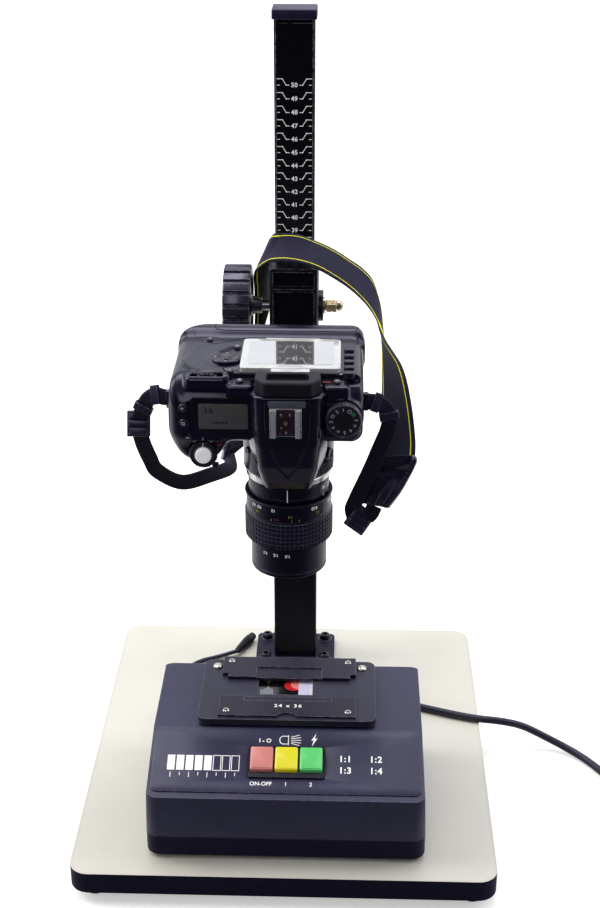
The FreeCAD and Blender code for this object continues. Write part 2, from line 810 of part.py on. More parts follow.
def make_drive():
    axle = rod("axle", "axle_wide / 2", "-knob_in_x + knob_bore_deep + cavity_half",
               "cavity_half - running_gap", "axle_y", "axle_z", "-x")
    hub = taper("axle_hub", "hub_wide / 2", "hub_wide / 2 - hub_taper", "hub_thick", "knob_in_x",
                "axle_y", "axle_z", "+x")
    node("drive_shaft", join("axle_solid", axle, hub))
    tread = rod("tread", "roller_radius", "roller_wide", "roller_wide / 2", "axle_y", "axle_z", "-x")
    bore = rod("tread_bore", "axle_wide / 2", "roller_wide + 2 * over", "roller_wide / 2 + over", "axle_y",
               "axle_z", "-x")
    node("friction_roller", cut("roller", tread, bore))

    knob = aim(new_body("knob"), "-x")
    disc = feature(knob, "AdditiveCylinder", "knob_disc", Radius="knob_wide / 2", Height="knob_thick")
    doc.recompute()
    rims = [f"Edge{i}" for i, e in enumerate(disc.Shape.Edges, 1) if isinstance(e.Curve, Part.Circle)]
    edge = feature(knob, "Chamfer", "knob_edge", Size=1.0)
    edge.Base = (disc, rims)
    bore = feature(knob, "SubtractiveCylinder", "knob_bore", Radius="axle_wide / 2",
                   Height="knob_bore_deep")
    flute = add_box(knob, "SubtractiveBox", "knob_flute", "2 * flute_deep", "flute_wide",
                    "knob_thick + 2 * over", x="knob_wide / 2", z="-over")
    doc.recompute()
    ring = knob.newObject("PartDesign::PolarPattern", "knob_flutes_ring")
    ring.Originals = [flute]
    roles = {line.Role: line for line in knob.Origin.OriginFeatures}
    ring.Axis = (roles["Z_Axis"], [""])
    bind(ring, Occurrences="knob_flutes")
    knob.Tip = ring
    node("drive_knob", move(knob, "knob_in_x", "axle_y", "axle_z"))

    start = "cavity_half + running_gap"
    root = rod("stud_shank", "stud_root / 2", f"carriage_wide / 2 + boss_proud - ({start}) + over",
               start, "axle_y", "axle_z", "+x")
    collar = rod("stud_flange", "stud_collar / 2", "stud_collar_thick",
                 "carriage_wide / 2 + boss_proud + lens_gap",
                 "axle_y", "axle_z", "+x")
    grip = domed("stud_grip", "stud_wide / 2", "stud_out", "stud_dome",
                 "carriage_wide / 2 + boss_proud + lens_gap", "axle_y", "axle_z", "+x")
    node("tension_stud", join("stud_solid", root, collar, grip))


# ---- camera -----------------------------------------------------------------------------

# The rear keys: how far right of the lens axis, and how far below the camera's top face.
REAR_KEYS = [(40.1, down) for down in (16.5, 26.5, 36.5, 47.0, 58.0)]
REAR_KEYS += [(-36.2, 61.4), (-38.2, 18.0), (-56.2, 75.0)]


def rear_keys(name, radius, low, tall):
    return [
        rod(f"{name}_{i}", radius, tall, f"lens_x + {right}", f"camera_top_y + {down}", low)
        for i, (right, down) in enumerate(REAR_KEYS)
    ]


def make_camera_shell():
    case = rounded("case", "camera_wide", "camera_tall", "camera_deep", "camera_corner",
                   "camera_x", "camera_mid_y", "camera_front_z", axis=INWARD)
    grip = rounded("grip", "grip_wide", "camera_tall - grip_short", "grip_drop + camera_deep / 2",
                   "grip_corner", "camera_left + grip_wide / 2", "camera_mid_y + grip_short / 2",
                   "camera_front_z - grip_drop", axis=INWARD)
    boss = rod("case_boss", "boss_radius", "mount_drop - mount_thick + over", "lens_x", "lens_y",
               "mount_z + mount_thick")
    ridge = rounded("case_ridge", "back_wide", "ridge_deep", "2 * ridge_tall", "ridge_corner", "camera_x",
                    "camera_base_y - ridge_deep / 2", "camera_back_z - ridge_tall", axis=INWARD)
    lugs = [
        block(f"lug_{side}", "2 * lug_out", "lug_wide", "lug_tall", f"camera_{side}",
              "camera_base_y - lug_back", "camera_front_z + lug_up - lug_tall / 2")
        for side in ("left", "right")
    ]
    chamber = block("case_chamber", "back_wide", "back_deep", "camera_deep - camera_wall + over",
                    "camera_x", "back_mid_y", "camera_front_z + camera_wall")
    throat = rod("case_throat", "throat_radius", "mount_drop + camera_wall + over", "lens_x", "lens_y",
                 "mount_z")
    socket = rod("tripod_socket", "screw_wide / 2 + running_gap", "screw_reach + screw_room", "lens_x",
                 "camera_base_y + over", "screw_z", "-y")
    slot = block("wheel_slot", "2 * (wheel_radius + wheel_room)", "wheel_thick + 2 * lens_gap",
                 "2 * wheel_radius + over", "lens_x - wheel_left", "camera_top_y + wheel_inset",
                 "wheel_z - wheel_radius - wheel_room")
    pivot = rod("wheel_pivot_hole", "spindle_wide / 2 + running_gap - pivot_step",
                "wheel_thick + 2 * (spindle_deep + press_room)", "lens_x - wheel_left",
                "camera_top_y + wheel_inset + wheel_thick / 2 + spindle_deep + press_room",
                "wheel_z", "-y")
    dial = rod("dial_hole", "spindle_wide / 2 + running_gap", "spindle_deep + over",
               "lens_x + dial_right", "camera_top_y + spindle_deep", "camera_back_z - dial_down",
               "-y")
    release = rod("release_hole", "spindle_wide / 2 + running_gap", "spindle_deep + over",
                  "lens_x - release_left", "grip_top_y + spindle_deep", "release_z", "-y")
    nest = rod("switch_nest", "ring_radius + ring_gap", "2 * grip_short", "lens_x - release_left",
               "grip_top_y", "release_z", "-y")
    seat = block("eye_seat", "eye_wide", "eye_deep", "eye_drop + over", "lens_x + eye_right",
                 "prism_y + eye_deep / 2", "camera_back_z - eye_drop")
    keys = rear_keys("case_key", "key_radius + key_gap", "camera_back_z - back_thick",
                     "back_thick + over")
    solid = join("case_solid", case, grip, boss, ridge, *lugs)
    node("camera_shell", cut("case_cut", solid, chamber, throat, socket, slot, pivot, dial, release,
                             nest, seat, *keys))


def make_camera_back():
    panel = block("back_panel", "back_wide", "back_deep", "back_thick", "camera_x", "back_mid_y",
                  "camera_back_z - back_thick")
    holes = rear_keys("back_key", "key_radius + key_gap", "camera_back_z - back_thick - over",
                      "back_thick + 2 * over")
    stem = rod("pad_hole", "pad_radius / 2 + key_gap", "back_thick + 2 * over", "lens_x - pad_left",
               "camera_top_y + pad_down", "camera_back_z - back_thick - over")
    node("camera_back", cut("back_cut", panel, stem, *holes))
    node("screen_cover", rounded(
        "cover", "cover_wide", "cover_deep", "cover_thick", "cover_corner", "lens_x + cover_right",
        "camera_top_y + cover_up + cover_deep / 2", "camera_back_z",
    ))
    node("rear_keys", group("keys", rear_keys(
        "key", "key_radius", "camera_back_z - back_thick + key_proud", "back_thick",
    )))
    rocker = domed("rocker", "pad_radius", "pad_proud - pad_travel - press_room", "pad_dome",
                   "lens_x - pad_left", "camera_top_y + pad_down",
                   "camera_back_z + pad_travel + press_room")
    stem = rod("rocker_stem", "pad_radius / 2", "back_thick + pad_travel", "lens_x - pad_left",
               "camera_top_y + pad_down", "camera_back_z - back_thick + pad_travel + pad_lift")
    node("multi_selector", join("rocker_solid", rocker, stem))
    eyecup = rounded("eyecup", "eye_wide", "eye_deep", "eye_tall", "eye_corner", "lens_x + eye_right",
                     "prism_y + eye_deep / 2", "camera_back_z - eye_drop")
    window = block("eye_window", "eye_window_wide", "eye_window_deep", "eye_tall / 2 + over",
                   "lens_x + eye_right", "prism_y + eye_deep / 2",
                   "camera_back_z - eye_drop + eye_tall / 2")
    node("eyepiece", cut("eyecup_cut", eyecup, window))


def make_camera_top():
    tuck = "camera_top_y + prism_tuck"
    side = extruded("prism_side", "side", [
        ("camera_top_y", "camera_back_z - eye_drop"),
        ("prism_y", "camera_back_z - eye_drop"),
        ("prism_y", "camera_back_z - prism_slope"),
        (f"{tuck} - prism_nose_deep", "camera_front_z - prism_drop"),
        (tuck, "camera_front_z - prism_drop"),
        (tuck, "camera_front_z"),
        ("camera_top_y", "camera_front_z"),
    ], "prism_wide + 2 * over", x="lens_x")
    front = extruded("prism_front", "front", [
        ("-prism_wide / 2", "camera_back_z + over"),
        ("-prism_nose / 2", "camera_front_z - prism_drop - over"),
        ("prism_nose / 2", "camera_front_z - prism_drop - over"),
        ("prism_wide / 2", "camera_back_z + over"),
    ], "4 * prism_wide", x="lens_x", y="camera_top_y")
    node("prism_cover", shared("prism", side, front))

    shoe = block("shoe_block", "shoe_wide", "shoe_tall", "shoe_long", "lens_x",
                 "prism_y - shoe_tall / 2", "camera_back_z - shoe_down - shoe_long / 2")
    slot = block("shoe_slot", "shoe_slot_wide", "shoe_slot_tall", "shoe_long + 2 * over", "lens_x",
                 "prism_y - shoe_floor - shoe_slot_tall / 2",
                 "camera_back_z - shoe_down - shoe_long / 2 - over")
    mouth = block("shoe_mouth", "shoe_mouth_wide", "shoe_tall", "shoe_long + 2 * over", "lens_x",
                  "prism_y - shoe_floor - shoe_tall / 2",
                  "camera_back_z - shoe_down - shoe_long / 2 - over")
    node("hot_shoe", cut("shoe_cut", shoe, slot, mouth))

    dial = domed("dial_cap", "dial_radius", "dial_tall", "dial_dome", "lens_x + dial_right",
                 "camera_top_y - lens_gap", "camera_back_z - dial_down", "-y")
    spindle = rod("dial_spindle", "spindle_wide / 2", "spindle_deep", "lens_x + dial_right",
                  "camera_top_y + spindle_deep - lens_gap", "camera_back_z - dial_down", "-y")
    node("mode_dial", join("dial_solid", dial, spindle))

    at = ("lens_x - wheel_left", "camera_top_y + wheel_inset")
    wheel = rod("thumb_wheel", "wheel_radius", "wheel_thick", at[0], at[1] + " + wheel_thick / 2",
                "wheel_z", "-y")
    pivot = rod("thumb_pivot", "spindle_wide / 2 - pivot_step", "wheel_thick + 2 * spindle_deep", at[0],
                at[1] + " + wheel_thick / 2 + spindle_deep", "wheel_z", "-y")
    node("command_wheel", join("wheel_solid", wheel, pivot))

    ring = rod("switch_ring_outside", "ring_radius", "ring_tall", "lens_x - release_left",
               "grip_top_y - lens_gap", "release_z", "-y")
    bore = rod("switch_ring_bore", "release_radius + ring_gap", "ring_tall + 2 * over",
               "lens_x - release_left", "grip_top_y + over", "release_z", "-y")
    node("power_ring", cut("switch_ring", ring, bore))
    cap = domed("release_cap", "release_radius", "release_tall", "release_dome", "lens_x - release_left",
                "grip_top_y - release_travel - lens_gap", "release_z", "-y")
    stem = rod("release_stem", "spindle_wide / 2", "spindle_deep", "lens_x - release_left",
               "grip_top_y + spindle_deep - release_travel - lens_gap", "release_z", "-y")
    node("shutter_button", join("release_solid", cap, stem))


def ring_about_lens(name, outer, inner, low, tall):
    outside = rod(name + "_outside", outer, tall, "lens_x", "lens_y", low)
    inside = rod(name + "_inside", inner, f"({tall}) + 2 * over", "lens_x", "lens_y", f"({low}) - over")
    return cut(name, outside, inside)


def make_lens():
    mount = ring_about_lens("lens_mount", "mount_radius", "tube_radius - tube_wall", "mount_z",
                            "mount_thick")
    tube = ring_about_lens("lens_tube", "tube_radius", "tube_radius - tube_wall", "tube_low",
                           "tube_long")
    node("lens_barrel", join("barrel_solid", mount, tube))
    node("aperture_ring", ring_about_lens("stops", "aperture_radius", "tube_radius + lens_gap",
                                          "aperture_low", "aperture_long"))
    sleeve = ring_about_lens("focus_sleeve", "focus_radius", "focus_radius - focus_wall",
                             "focus_low", "focus_long")
    hub = ring_about_lens("focus_web", "focus_radius - focus_wall / 2", "tube_radius + lens_gap",
                          "focus_top - focus_hub", "focus_hub")
    node("focus_ring", join("focus_solid", sleeve, hub))
    barrel = ring_about_lens("front_tube", "barrel_radius", "barrel_inner", "rim_z", "barrel_long")
    cell = ring_about_lens("front_cell", "barrel_radius - barrel_wall / 2", "glass_radius",
                           "rim_z + thread_deep", "cell_thick")
    node("front_barrel", join("front_solid", barrel, cell))
    node("front_glass", domed("glass", "glass_radius", "glass_thick", "glass_dome", "lens_x", "lens_y",
                              "rim_z + thread_deep + glass_thick + glass_step", "-z"))


# ---- light unit -------------------------------------------------------------------------


def slanted(name, *pieces):
    """Pieces drawn flat about the crease, turned onto the sloping front of the light unit."""
    made = group(name, pieces)
    made.Placement.Rotation = FreeCAD.Rotation(ACROSS, 20)
    made.setExpression("Placement.Rotation.Angle", "Places.slope_turn")
    return move(made, "unit_x", "crease_y", "unit_top")


def unit_form(name, wall):
    """The upper shell's outer form, or its hollow when the wall is not nothing."""
    low = f"seam_z - ({wall}) / 2"
    side = extruded(name + "_side", "side", [
        (f"unit_rear_y - ({wall})", low),
        (f"unit_rear_y - ({wall})", f"unit_top - ({wall})"),
        ("crease_y", f"unit_top - ({wall})"),
        (f"unit_front_y + ({wall})", f"unit_low + unit_front - ({wall}) / 2"),
        (f"unit_front_y + ({wall})", low),
    ], "unit_wide + 4", x="unit_x")
    front = extruded(name + "_front", "front", [
        (f"-(unit_wide / 2 - ({wall}))", f"seam_z - ({wall}) / 2"),
        (f"-(unit_top_wide / 2 - ({wall}))", "unit_top"),
        (f"unit_top_wide / 2 - ({wall})", "unit_top"),
        (f"unit_wide / 2 - ({wall})", f"seam_z - ({wall}) / 2"),
    ], "unit_deep + 4", x="unit_x", y="unit_mid_y")
    plan = rounded(name + "_plan", f"unit_wide - 2 * ({wall})", f"unit_deep - 2 * ({wall})",
                   "unit_tall", f"unit_corner - ({wall})", "unit_x", "unit_mid_y", "unit_low")
    return shared(name, shared(name + "_sides", side, front), plan)


def switch_opening(name, clear):
    return block(name, f"switch_wide + 2 * ({clear})", f"switch_deep + 2 * ({clear})",
                 "2 * switch_body", y="-switch_down", z="-switch_body")


def make_unit_shells():
    outside = unit_form("unit_outside", "0")
    hollow = unit_form("unit_hollow", "unit_wall")
    window = block("unit_window", "gate_wide", "gate_deep", "2 * unit_wall + 2 * over", "gate_x",
                   "gate_y", "unit_top - 2 * unit_wall")
    opening = slanted("unit_opening", switch_opening("unit_switch_hole", "running_gap"))
    node("upper_shell", cut("upper_cut", outside, hollow, window, opening))

    tray = new_body("tray")
    solid = add_box(tray, "AdditiveBox", "tray_box", "unit_wide", "unit_deep", "unit_seam")
    doc.recompute()
    upright = round_edges(tray, solid, edges_along(solid.Shape, UPRIGHT), "unit_corner",
                          "tray_corners")
    doc.recompute()
    low = [
        f"Edge{i}" for i, edge in enumerate(upright.Shape.Edges, 1)
        if edge.BoundBox.ZMax < 1e-3
    ]
    round_edges(tray, upright, low, "unit_wall", "tray_rim")
    move(tray, "unit_x", "unit_mid_y", "unit_low")
    inside = rounded("tray_hollow", "unit_wide - 2 * unit_wall", "unit_deep - 2 * unit_wall",
                     "unit_seam", "unit_corner - unit_wall", "unit_x", "unit_mid_y",
                     "unit_low + unit_wall")
    mains = rod("mains_hole", "gland_wide / 2 + running_gap", "3 * unit_wall", "gland_right",
                "unit_rear_y - 2 * unit_wall", "gland_z", "+y")
    sync = rod("sync_hole", "sync_sleeve_wide / 2 + running_gap", "3 * unit_wall", "-sync_left",
               "unit_rear_y - 2 * unit_wall", "gland_z", "+y")
    node("lower_shell", cut("tray_cut", tray, inside, mains, sync))


def make_switches():
    plate = rounded("panel_plate", "panel_wide", "panel_deep", "panel_thick", "panel_corner",
                    y="-panel_deep / 2 - panel_thick")
    hole = switch_opening("panel_hole", "running_gap")
    node("control_panel", slanted("panel", cut("panel_cut", plate, hole)))

    frame = rounded("switch_frame", "switch_wide", "switch_deep", "switch_body + switch_proud", 1,
                    y="-switch_down", z="-switch_body")
    wells = [
        block(f"switch_well_{i}", "cap_wide + 2 * cap_gap", "cap_deep + 2 * cap_gap",
              "switch_body + switch_proud", f"{i - 1} * key_pitch", "-switch_down + cap_back",
              "switch_floor - switch_body")
        for i in range(3)
    ]
    node("switch_block", slanted("switches", cut("switch_cut", frame, *wells)))
    for i, colour in enumerate(("red", "yellow", "green")):
        cap = rounded(f"cap_{colour}", "cap_wide", "cap_deep", "cap_stem + cap_proud", 1,
                      f"{i - 1} * key_pitch", "-switch_down + cap_back", "-cap_stem")
        node(f"button_{colour}", slanted(f"lit_cap_{colour}", cap))


def make_stage():
    plate = rounded("stage_slab", "stage_wide", "stage_deep", "stage_thick", "stage_corner",
                    "stage_x", "stage_mid_y", "stage_low")
    riser = block("stage_riser", "stage_wide - 2 * stage_margin", "stage_deep - 2 * stage_margin",
                  "stage_lift + over", "stage_x", "stage_mid_y", "unit_top")
    window = block("stage_window", "gate_wide", "gate_deep", "stage_lift + stage_thick + 2 * over",
                   "gate_x", "gate_y", "unit_top - over")
    channel = block("film_channel", "stage_wide + 2 * over", "film_wide + 2 * film_gap",
                    "film_thick + 2 * film_gap", "stage_x", "gate_y", "stage_low + film_floor")
    screw_at = [
        ("-screw_half", "stage_back_y - stage_screw_inset", "rear_rail_tall"),
        ("screw_half", "stage_back_y - stage_screw_inset", "rear_rail_tall"),
        ("-screw_half", "front_rail_back_y - front_rail_deep + stage_screw_inset",
         "front_rail_tall"),
        ("screw_half", "front_rail_back_y - front_rail_deep + stage_screw_inset",
         "front_rail_tall"),
    ]
    pin_at = [f"stage_x + {side} * (stage_wide / 2 - stage_pin_inset)" for side in (-1, 1)]

    def screw_holes(name, low):
        return [
            rod(f"{name}_{i}", "stage_screw_wide / 2", "2 * stage_thick", f"stage_x + {x}", y, low)
            for i, (x, y, rise) in enumerate(screw_at)
        ]

    pin_holes = [
        rod(f"pin_hole_{i}", "stage_pin_wide / 4", "stage_thick", x, "stage_back_y - stage_pin_inset",
            "stage_top - stage_thick / 2")
        for i, x in enumerate(pin_at)
    ]
    node("stage_plate", cut(
        "stage_cut", join("stage_solid", plate, riser), window, channel,
        *screw_holes("plate_screw_hole", "stage_low + film_floor"), *pin_holes,
    ))

    front_y = "front_rail_back_y - front_rail_deep"
    front = block("front_rail_bar", "front_rail_wide", "front_rail_deep", "front_rail_tall",
                  "stage_x", "front_rail_back_y - front_rail_deep / 2", "stage_top")
    scoop = rod("finger_scoop", "finger_radius", "front_rail_tall + 2 * over", "stage_x",
                f"{front_y} + finger_deep - finger_radius", "stage_top - over")
    step = block("frame_line", "clamp_wide + 16", "frame_line_deep", "front_rail_tall", "stage_x",
                 "front_rail_back_y - frame_line_deep / 2 + 0.01", "stage_top + front_rail_tall / 2")
    node("front_rail", cut("front_rail_cut", front, scoop, step,
                           *screw_holes("front_screw_hole", "stage_top - over")))

    rear = block("rear_rail_bar", "rear_rail_wide", "rear_rail_deep", "rear_rail_tall", "stage_x",
                 "stage_back_y - rear_rail_deep / 2", "stage_top")
    notches = [
        block(f"rear_notch_{i}", "2 * rear_rail_notch", "2 * rear_rail_notch", "2 * rear_rail_tall",
              f"stage_x + {side} * rear_rail_wide / 2", "stage_back_y - rear_rail_deep",
              "stage_top - over")
        for i, side in enumerate((-1, 1))
    ]
    room = block("clamp_room", "clamp_wide + 2 * clamp_gap",
                 "clamp_deep + clamp_travel + clamp_gap + over", "clamp_thick + clamp_gap", "stage_x",
                 "clamp_back_y + (clamp_travel + clamp_gap - clamp_deep - 1) / 2", "stage_top")
    bay = block("clamp_bay", "clamp_wide + 2 * clamp_gap", "clamp_deep + over", "rear_rail_tall + over",
                "stage_x", "clamp_back_y - (clamp_deep + 1) / 2", "stage_top")
    node("rear_rail", cut("rear_rail_cut", rear, *notches, room, bay,
                          *screw_holes("rear_screw_hole", "stage_top - over")))
    node("film_clamp", block("clamp", "clamp_wide", "clamp_deep", "clamp_thick", "stage_x",
                             "clamp_back_y - clamp_deep / 2", "stage_top"))

    screws = []
    for i, (x, y, rise) in enumerate(screw_at):
        shank = rod(f"stage_shank_{i}", "stage_screw_wide / 2",
                    f"stage_thick - film_floor + {rise} + 0.2", f"stage_x + {x}", y,
                    "stage_low + film_floor")
        head = domed(f"stage_head_{i}", "stage_screw_head / 2", 0.8, 0.4, f"stage_x + {x}", y,
                     f"stage_top + {rise}")
        screws.append(join(f"stage_screw_{i}", shank, head))
    node("stage_screws", group("stage_screw_set", screws))
    pins = []
    for i, x in enumerate(pin_at):
        shank = rod(f"stage_peg_{i}", "stage_pin_wide / 4", "stage_thick / 2 + 0.5", x,
                    "stage_back_y - stage_pin_inset", "stage_top - stage_thick / 2")
        head = domed(f"stage_pin_head_{i}", "stage_pin_wide / 2", "stage_pin_dome",
                     "stage_pin_dome * 0.7", x, "stage_back_y - stage_pin_inset", "stage_top")
        pins.append(join(f"stage_pin_{i}", shank, head))
    node("stage_pins", group("stage_pin_set", pins))
    node("film_strip", block("film", "film_long", "film_wide", "film_thick", "stage_x", "gate_y",
                             "stage_low + film_floor + film_gap"))


def make_inside():
    floor = "unit_low + unit_wall"
    chimney = block("well_chimney", "gate_wide + 2 * (well_margin + well_wall)",
                    "gate_deep + 2 * (well_margin + well_wall)", "well_tall", "gate_x", "gate_y",
                    "trough_top")
    trough = block("trough", "trough_wide", "trough_deep", f"trough_top - ({floor})", "gate_x",
                   "gate_y", floor)
    shaft = block("well_shaft", "gate_wide + 2 * well_margin", "gate_deep + 2 * well_margin",
                  "well_tall + 2 * trough_thick", "gate_x", "gate_y", "trough_top - trough_thick - over")
    scoop = block("trough_inside", "trough_wide - 2 * trough_thick", "trough_deep - 2 * trough_thick",
                  f"trough_top - ({floor}) - 2 * trough_thick", "gate_x", "gate_y",
                  f"{floor} + trough_thick")
    node("light_well", cut("well", join("well_solid", chimney, trough), shaft, scoop))
    node("diffuser", block("diffuser_plate", "gate_wide + 2 * well_margin",
                           "gate_deep + 2 * well_margin", "diffuser_thick", "gate_x", "gate_y",
                           "well_top - diffuser_down"))
    rise = f"({floor} + trough_top) / 2"
    node("flash_tube", rod("flash_lamp", "flash_wide / 2", "trough_wide - 2 * trough_thick",
                           "gate_x - trough_wide / 2 + trough_thick", "gate_y - flash_ahead", rise,
                           "+x"))
    glass = rod("lamp_glass", "lamp_wide / 2", "lamp_long",
                "gate_x + trough_wide / 2 - trough_thick - lamp_base_long", "gate_y + lamp_behind",
                rise, "-x")
    base = rod("lamp_base", "lamp_wide / 2 - lamp_base_step", "lamp_base_long + over",
               "gate_x + trough_wide / 2 - trough_thick", "gate_y + lamp_behind", rise, "-x")
    node("focus_lamp", join("lamp_solid", glass, base))

    core_at = ("core_x", "unit_mid_y + core_behind")
    core = block("transformer_core", "core_wide", "core_deep", "core_tall", *core_at, floor)
    winding = rounded("transformer_winding", "winding_wide", "winding_deep", "winding_tall",
                      "winding_corner", *core_at, f"{floor} + winding_up")
    node("transformer", join("transformer_solid", core, winding))

    board_at = ("circuit_x", "unit_mid_y + board_behind")
    board = block("circuit_board", "circuit_wide", "circuit_deep", "circuit_thick", *board_at,
                  f"{floor} + post_tall")
    posts = [
        rod(f"circuit_post_{i}", "post_wide / 2", "post_tall + circuit_thick / 2",
            f"{board_at[0]} + {i % 2 * 2 - 1} * (circuit_wide / 2 - post_inset)",
            f"{board_at[1]} + {i // 2 * 2 - 1} * (circuit_deep / 2 - post_inset)", floor)
        for i in range(4)
    ]
    can = rod("capacitor", "capacitor_wide / 2", "capacitor_long", board_at[0],
              f"{board_at[1]} + capacitor_long / 2",
              f"{floor} + post_tall + circuit_thick + capacitor_wide / 2 - capacitor_sunk", "-y")
    node("flash_circuit", join("circuit_solid", board, can, *posts))


# ---- leads ------------------------------------------------------------------------------

# The leads' routes, chosen by hand: on the board a lead's axis lies half its width above the top.
MAINS_ROUTE = [
    (25, 12, 37.8), (25, 26, 37.1), (30, 39.1, 34.9), (39.6, 49.3, 32), (52.3, 55.2, 29.8),
    (66.3, 55.9, 29.05), (88, 48.7, 29.05), (116, 38, 29.05), (148, 27, 29.2), (171, 25, 28.6),
    (190, 29.2, 21.5), (208, 28.8, 11.5), (224, 24, 5.2), (239, 12, 3), (252, -7, 3),
    (262.4, -26.6, 3), (271.9, -45.7, 3),
]
TAIL_ROUTE = [(351, -26, 9), (351.3, -10, 8.8), (350, 6, 7.6), (348.5, 20, 7)]
SYNC_ROUTE = [
    (-64, 4, 37.8), (-63.5, 18, 36.2), (-56, 33, 32), (-41, 41, 29), (-23, 43.5, 27.8),
    (-8, 53, 27.8), (-3, 70, 27.8), (-12, 84, 27.8), (-29, 88, 27.8), (-47, 82, 27.8),
    (-63, 71.5, 27.8), (-80, 68, 27.8), (-93, 77, 27.8), (-93.5, 94, 27.8), (-82.5, 107.5, 27.8),
    (-66, 113, 28.4), (-51, 119.5, 30.4),
]


def lead_path(name, route):
    """Straight runs joined by arcs, each as large as its two runs allow."""
    points = [FreeCAD.Vector(*point) for point in route]
    pieces = []
    start = points[0]
    radii = []
    for before, corner, after in zip(points, points[1:], points[2:]):
        back = (before - corner).normalize()
        onward = (after - corner).normalize()
        run = min((before - corner).Length, (after - corner).Length)
        reach = 0.45 * run
        turn = math.pi - back.getAngle(onward)
        radius = reach / math.tan(turn / 2)
        radii.append(radius)
        middle = corner + (back + onward).normalize() * (math.hypot(radius, reach) - radius)
        first = corner + back * reach
        last = corner + onward * reach
        pieces.append(Part.LineSegment(start, first).toShape())
        pieces.append(Part.Arc(first, middle, last).toShape())
        start = last
    pieces.append(Part.LineSegment(start, points[-1]).toShape())
    print(name, "radii", " ".join(f"{radius:.0f}" for radius in radii))
    path = doc.addObject("Part::Feature", name + "_path")
    path.Shape = Part.Wire(pieces)
    return path, points[0], points[1] - points[0]


def lead(name, wide, route):
    """A round lead along a route."""
    path, start, way = lead_path(name, route)
    ring = doc.addObject("Part::Circle", name + "_ring")
    bind(ring, Radius=f"{wide} / 2")
    ring.Placement = FreeCAD.Placement(start, FreeCAD.Rotation(UPRIGHT, way))
    tube = doc.addObject("Part::Sweep", name)
    tube.Sections = [ring]
    tube.Spine = (path, [])
    tube.Solid = True
    tube.Frenet = True
    doc.recompute()
    length = path.Shape.Length
    filled = tube.Shape.Volume / (math.pi * (size(wide) / 2) ** 2 * length)
    print(f"{name}: {length:.0f} mm long, volume over section times length {filled:.4f}")
    return tube


def make_leads():
    wall = "unit_rear_y - unit_wall"
    gland = [
        rod("gland_neck", "gland_wide / 2", "unit_wall + gland_nut + 1", "gland_right",
            f"{wall} - gland_nut", "gland_z", "+y"),
        rod("gland_rim", "gland_wide / 2 + gland_lip", "gland_rim_thick", "gland_right", "unit_rear_y",
            "gland_z", "+y"),
        rod("gland_nut", "gland_wide / 2 + gland_lip", "gland_nut", "gland_right", f"{wall} - gland_nut",
            "gland_z", "+y"),
        taper("gland_sleeve", "gland_wide / 2 - 0.5", "gland_tip / 2", "gland_long", "gland_right",
              "unit_rear_y", "gland_z", "+y"),
    ]
    sleeve = [
        rod("sync_neck", "sync_sleeve_wide / 2", "unit_wall + gland_nut + 1", "-sync_left",
            f"{wall} - gland_nut", "gland_z", "+y"),
        rod("sync_nut", "sync_sleeve_wide / 2 + gland_lip", "gland_nut", "-sync_left",
            f"{wall} - gland_nut", "gland_z", "+y"),
        taper("sync_sleeve", "sync_sleeve_wide / 2", "sync_wide / 2 + 1", "sync_gland_long",
              "-sync_left", "unit_rear_y", "gland_z", "+y"),
    ]
    node("cord_gland", group("glands", [join("mains_gland", *gland), join("sync_gland", *sleeve)]))
    node("mains_cord", group("mains_lead", [
        lead("mains_run", "mains_wide", MAINS_ROUTE), lead("mains_tail", "mains_wide", TAIL_ROUTE),
    ]))
    outer = rod("coil_outside", "coil_middle + coil_band / 2", "coil_tall", "coil_x", "coil_y")
    inner = rod("coil_inside", "coil_middle - coil_band / 2", "coil_tall + 2", "coil_x", "coil_y",
                -1)
    node("cord_coil", cut("coil", outer, inner))

    rear = TAIL_ROUTE[-1]
    body = rounded("plug_body", "plug_wide", "plug_long", "plug_deep", 4, rear[0],
                   f"{rear[1]} + plug_long / 2")
    prongs = [
        rod(f"plug_pin_{side}", "pin_wide / 2", "pin_long + 1",
            f"{rear[0]} + {side} * pin_apart / 2", f"{rear[1]} + plug_long - 1", "plug_deep / 2",
            "+y")
        for side in (-1, 1)
    ]
    node("mains_plug", join("plug_solid", body, *prongs))
    node("sync_cord", group("sync_lead", [lead("sync_run", "sync_wide", SYNC_ROUTE)]))

    shell = taper("sync_connector", "sync_wide / 2 + 1.5", "sync_plug_wide / 2", "sync_plug_long")
    tip = rod("sync_tip", "sync_plug_wide / 2 - 1", "sync_tip_long + 1", z="sync_plug_long - 1")
    plug = join("sync_plug_solid", shell, tip)
    plug.Placement = FreeCAD.Placement(
        FreeCAD.Vector(*SYNC_ROUTE[-1]), FreeCAD.Rotation(UPRIGHT, FreeCAD.Vector(10, 20, 0.4))
    )
    node("sync_plug", plug)


# ---- strap ------------------------------------------------------------------------------

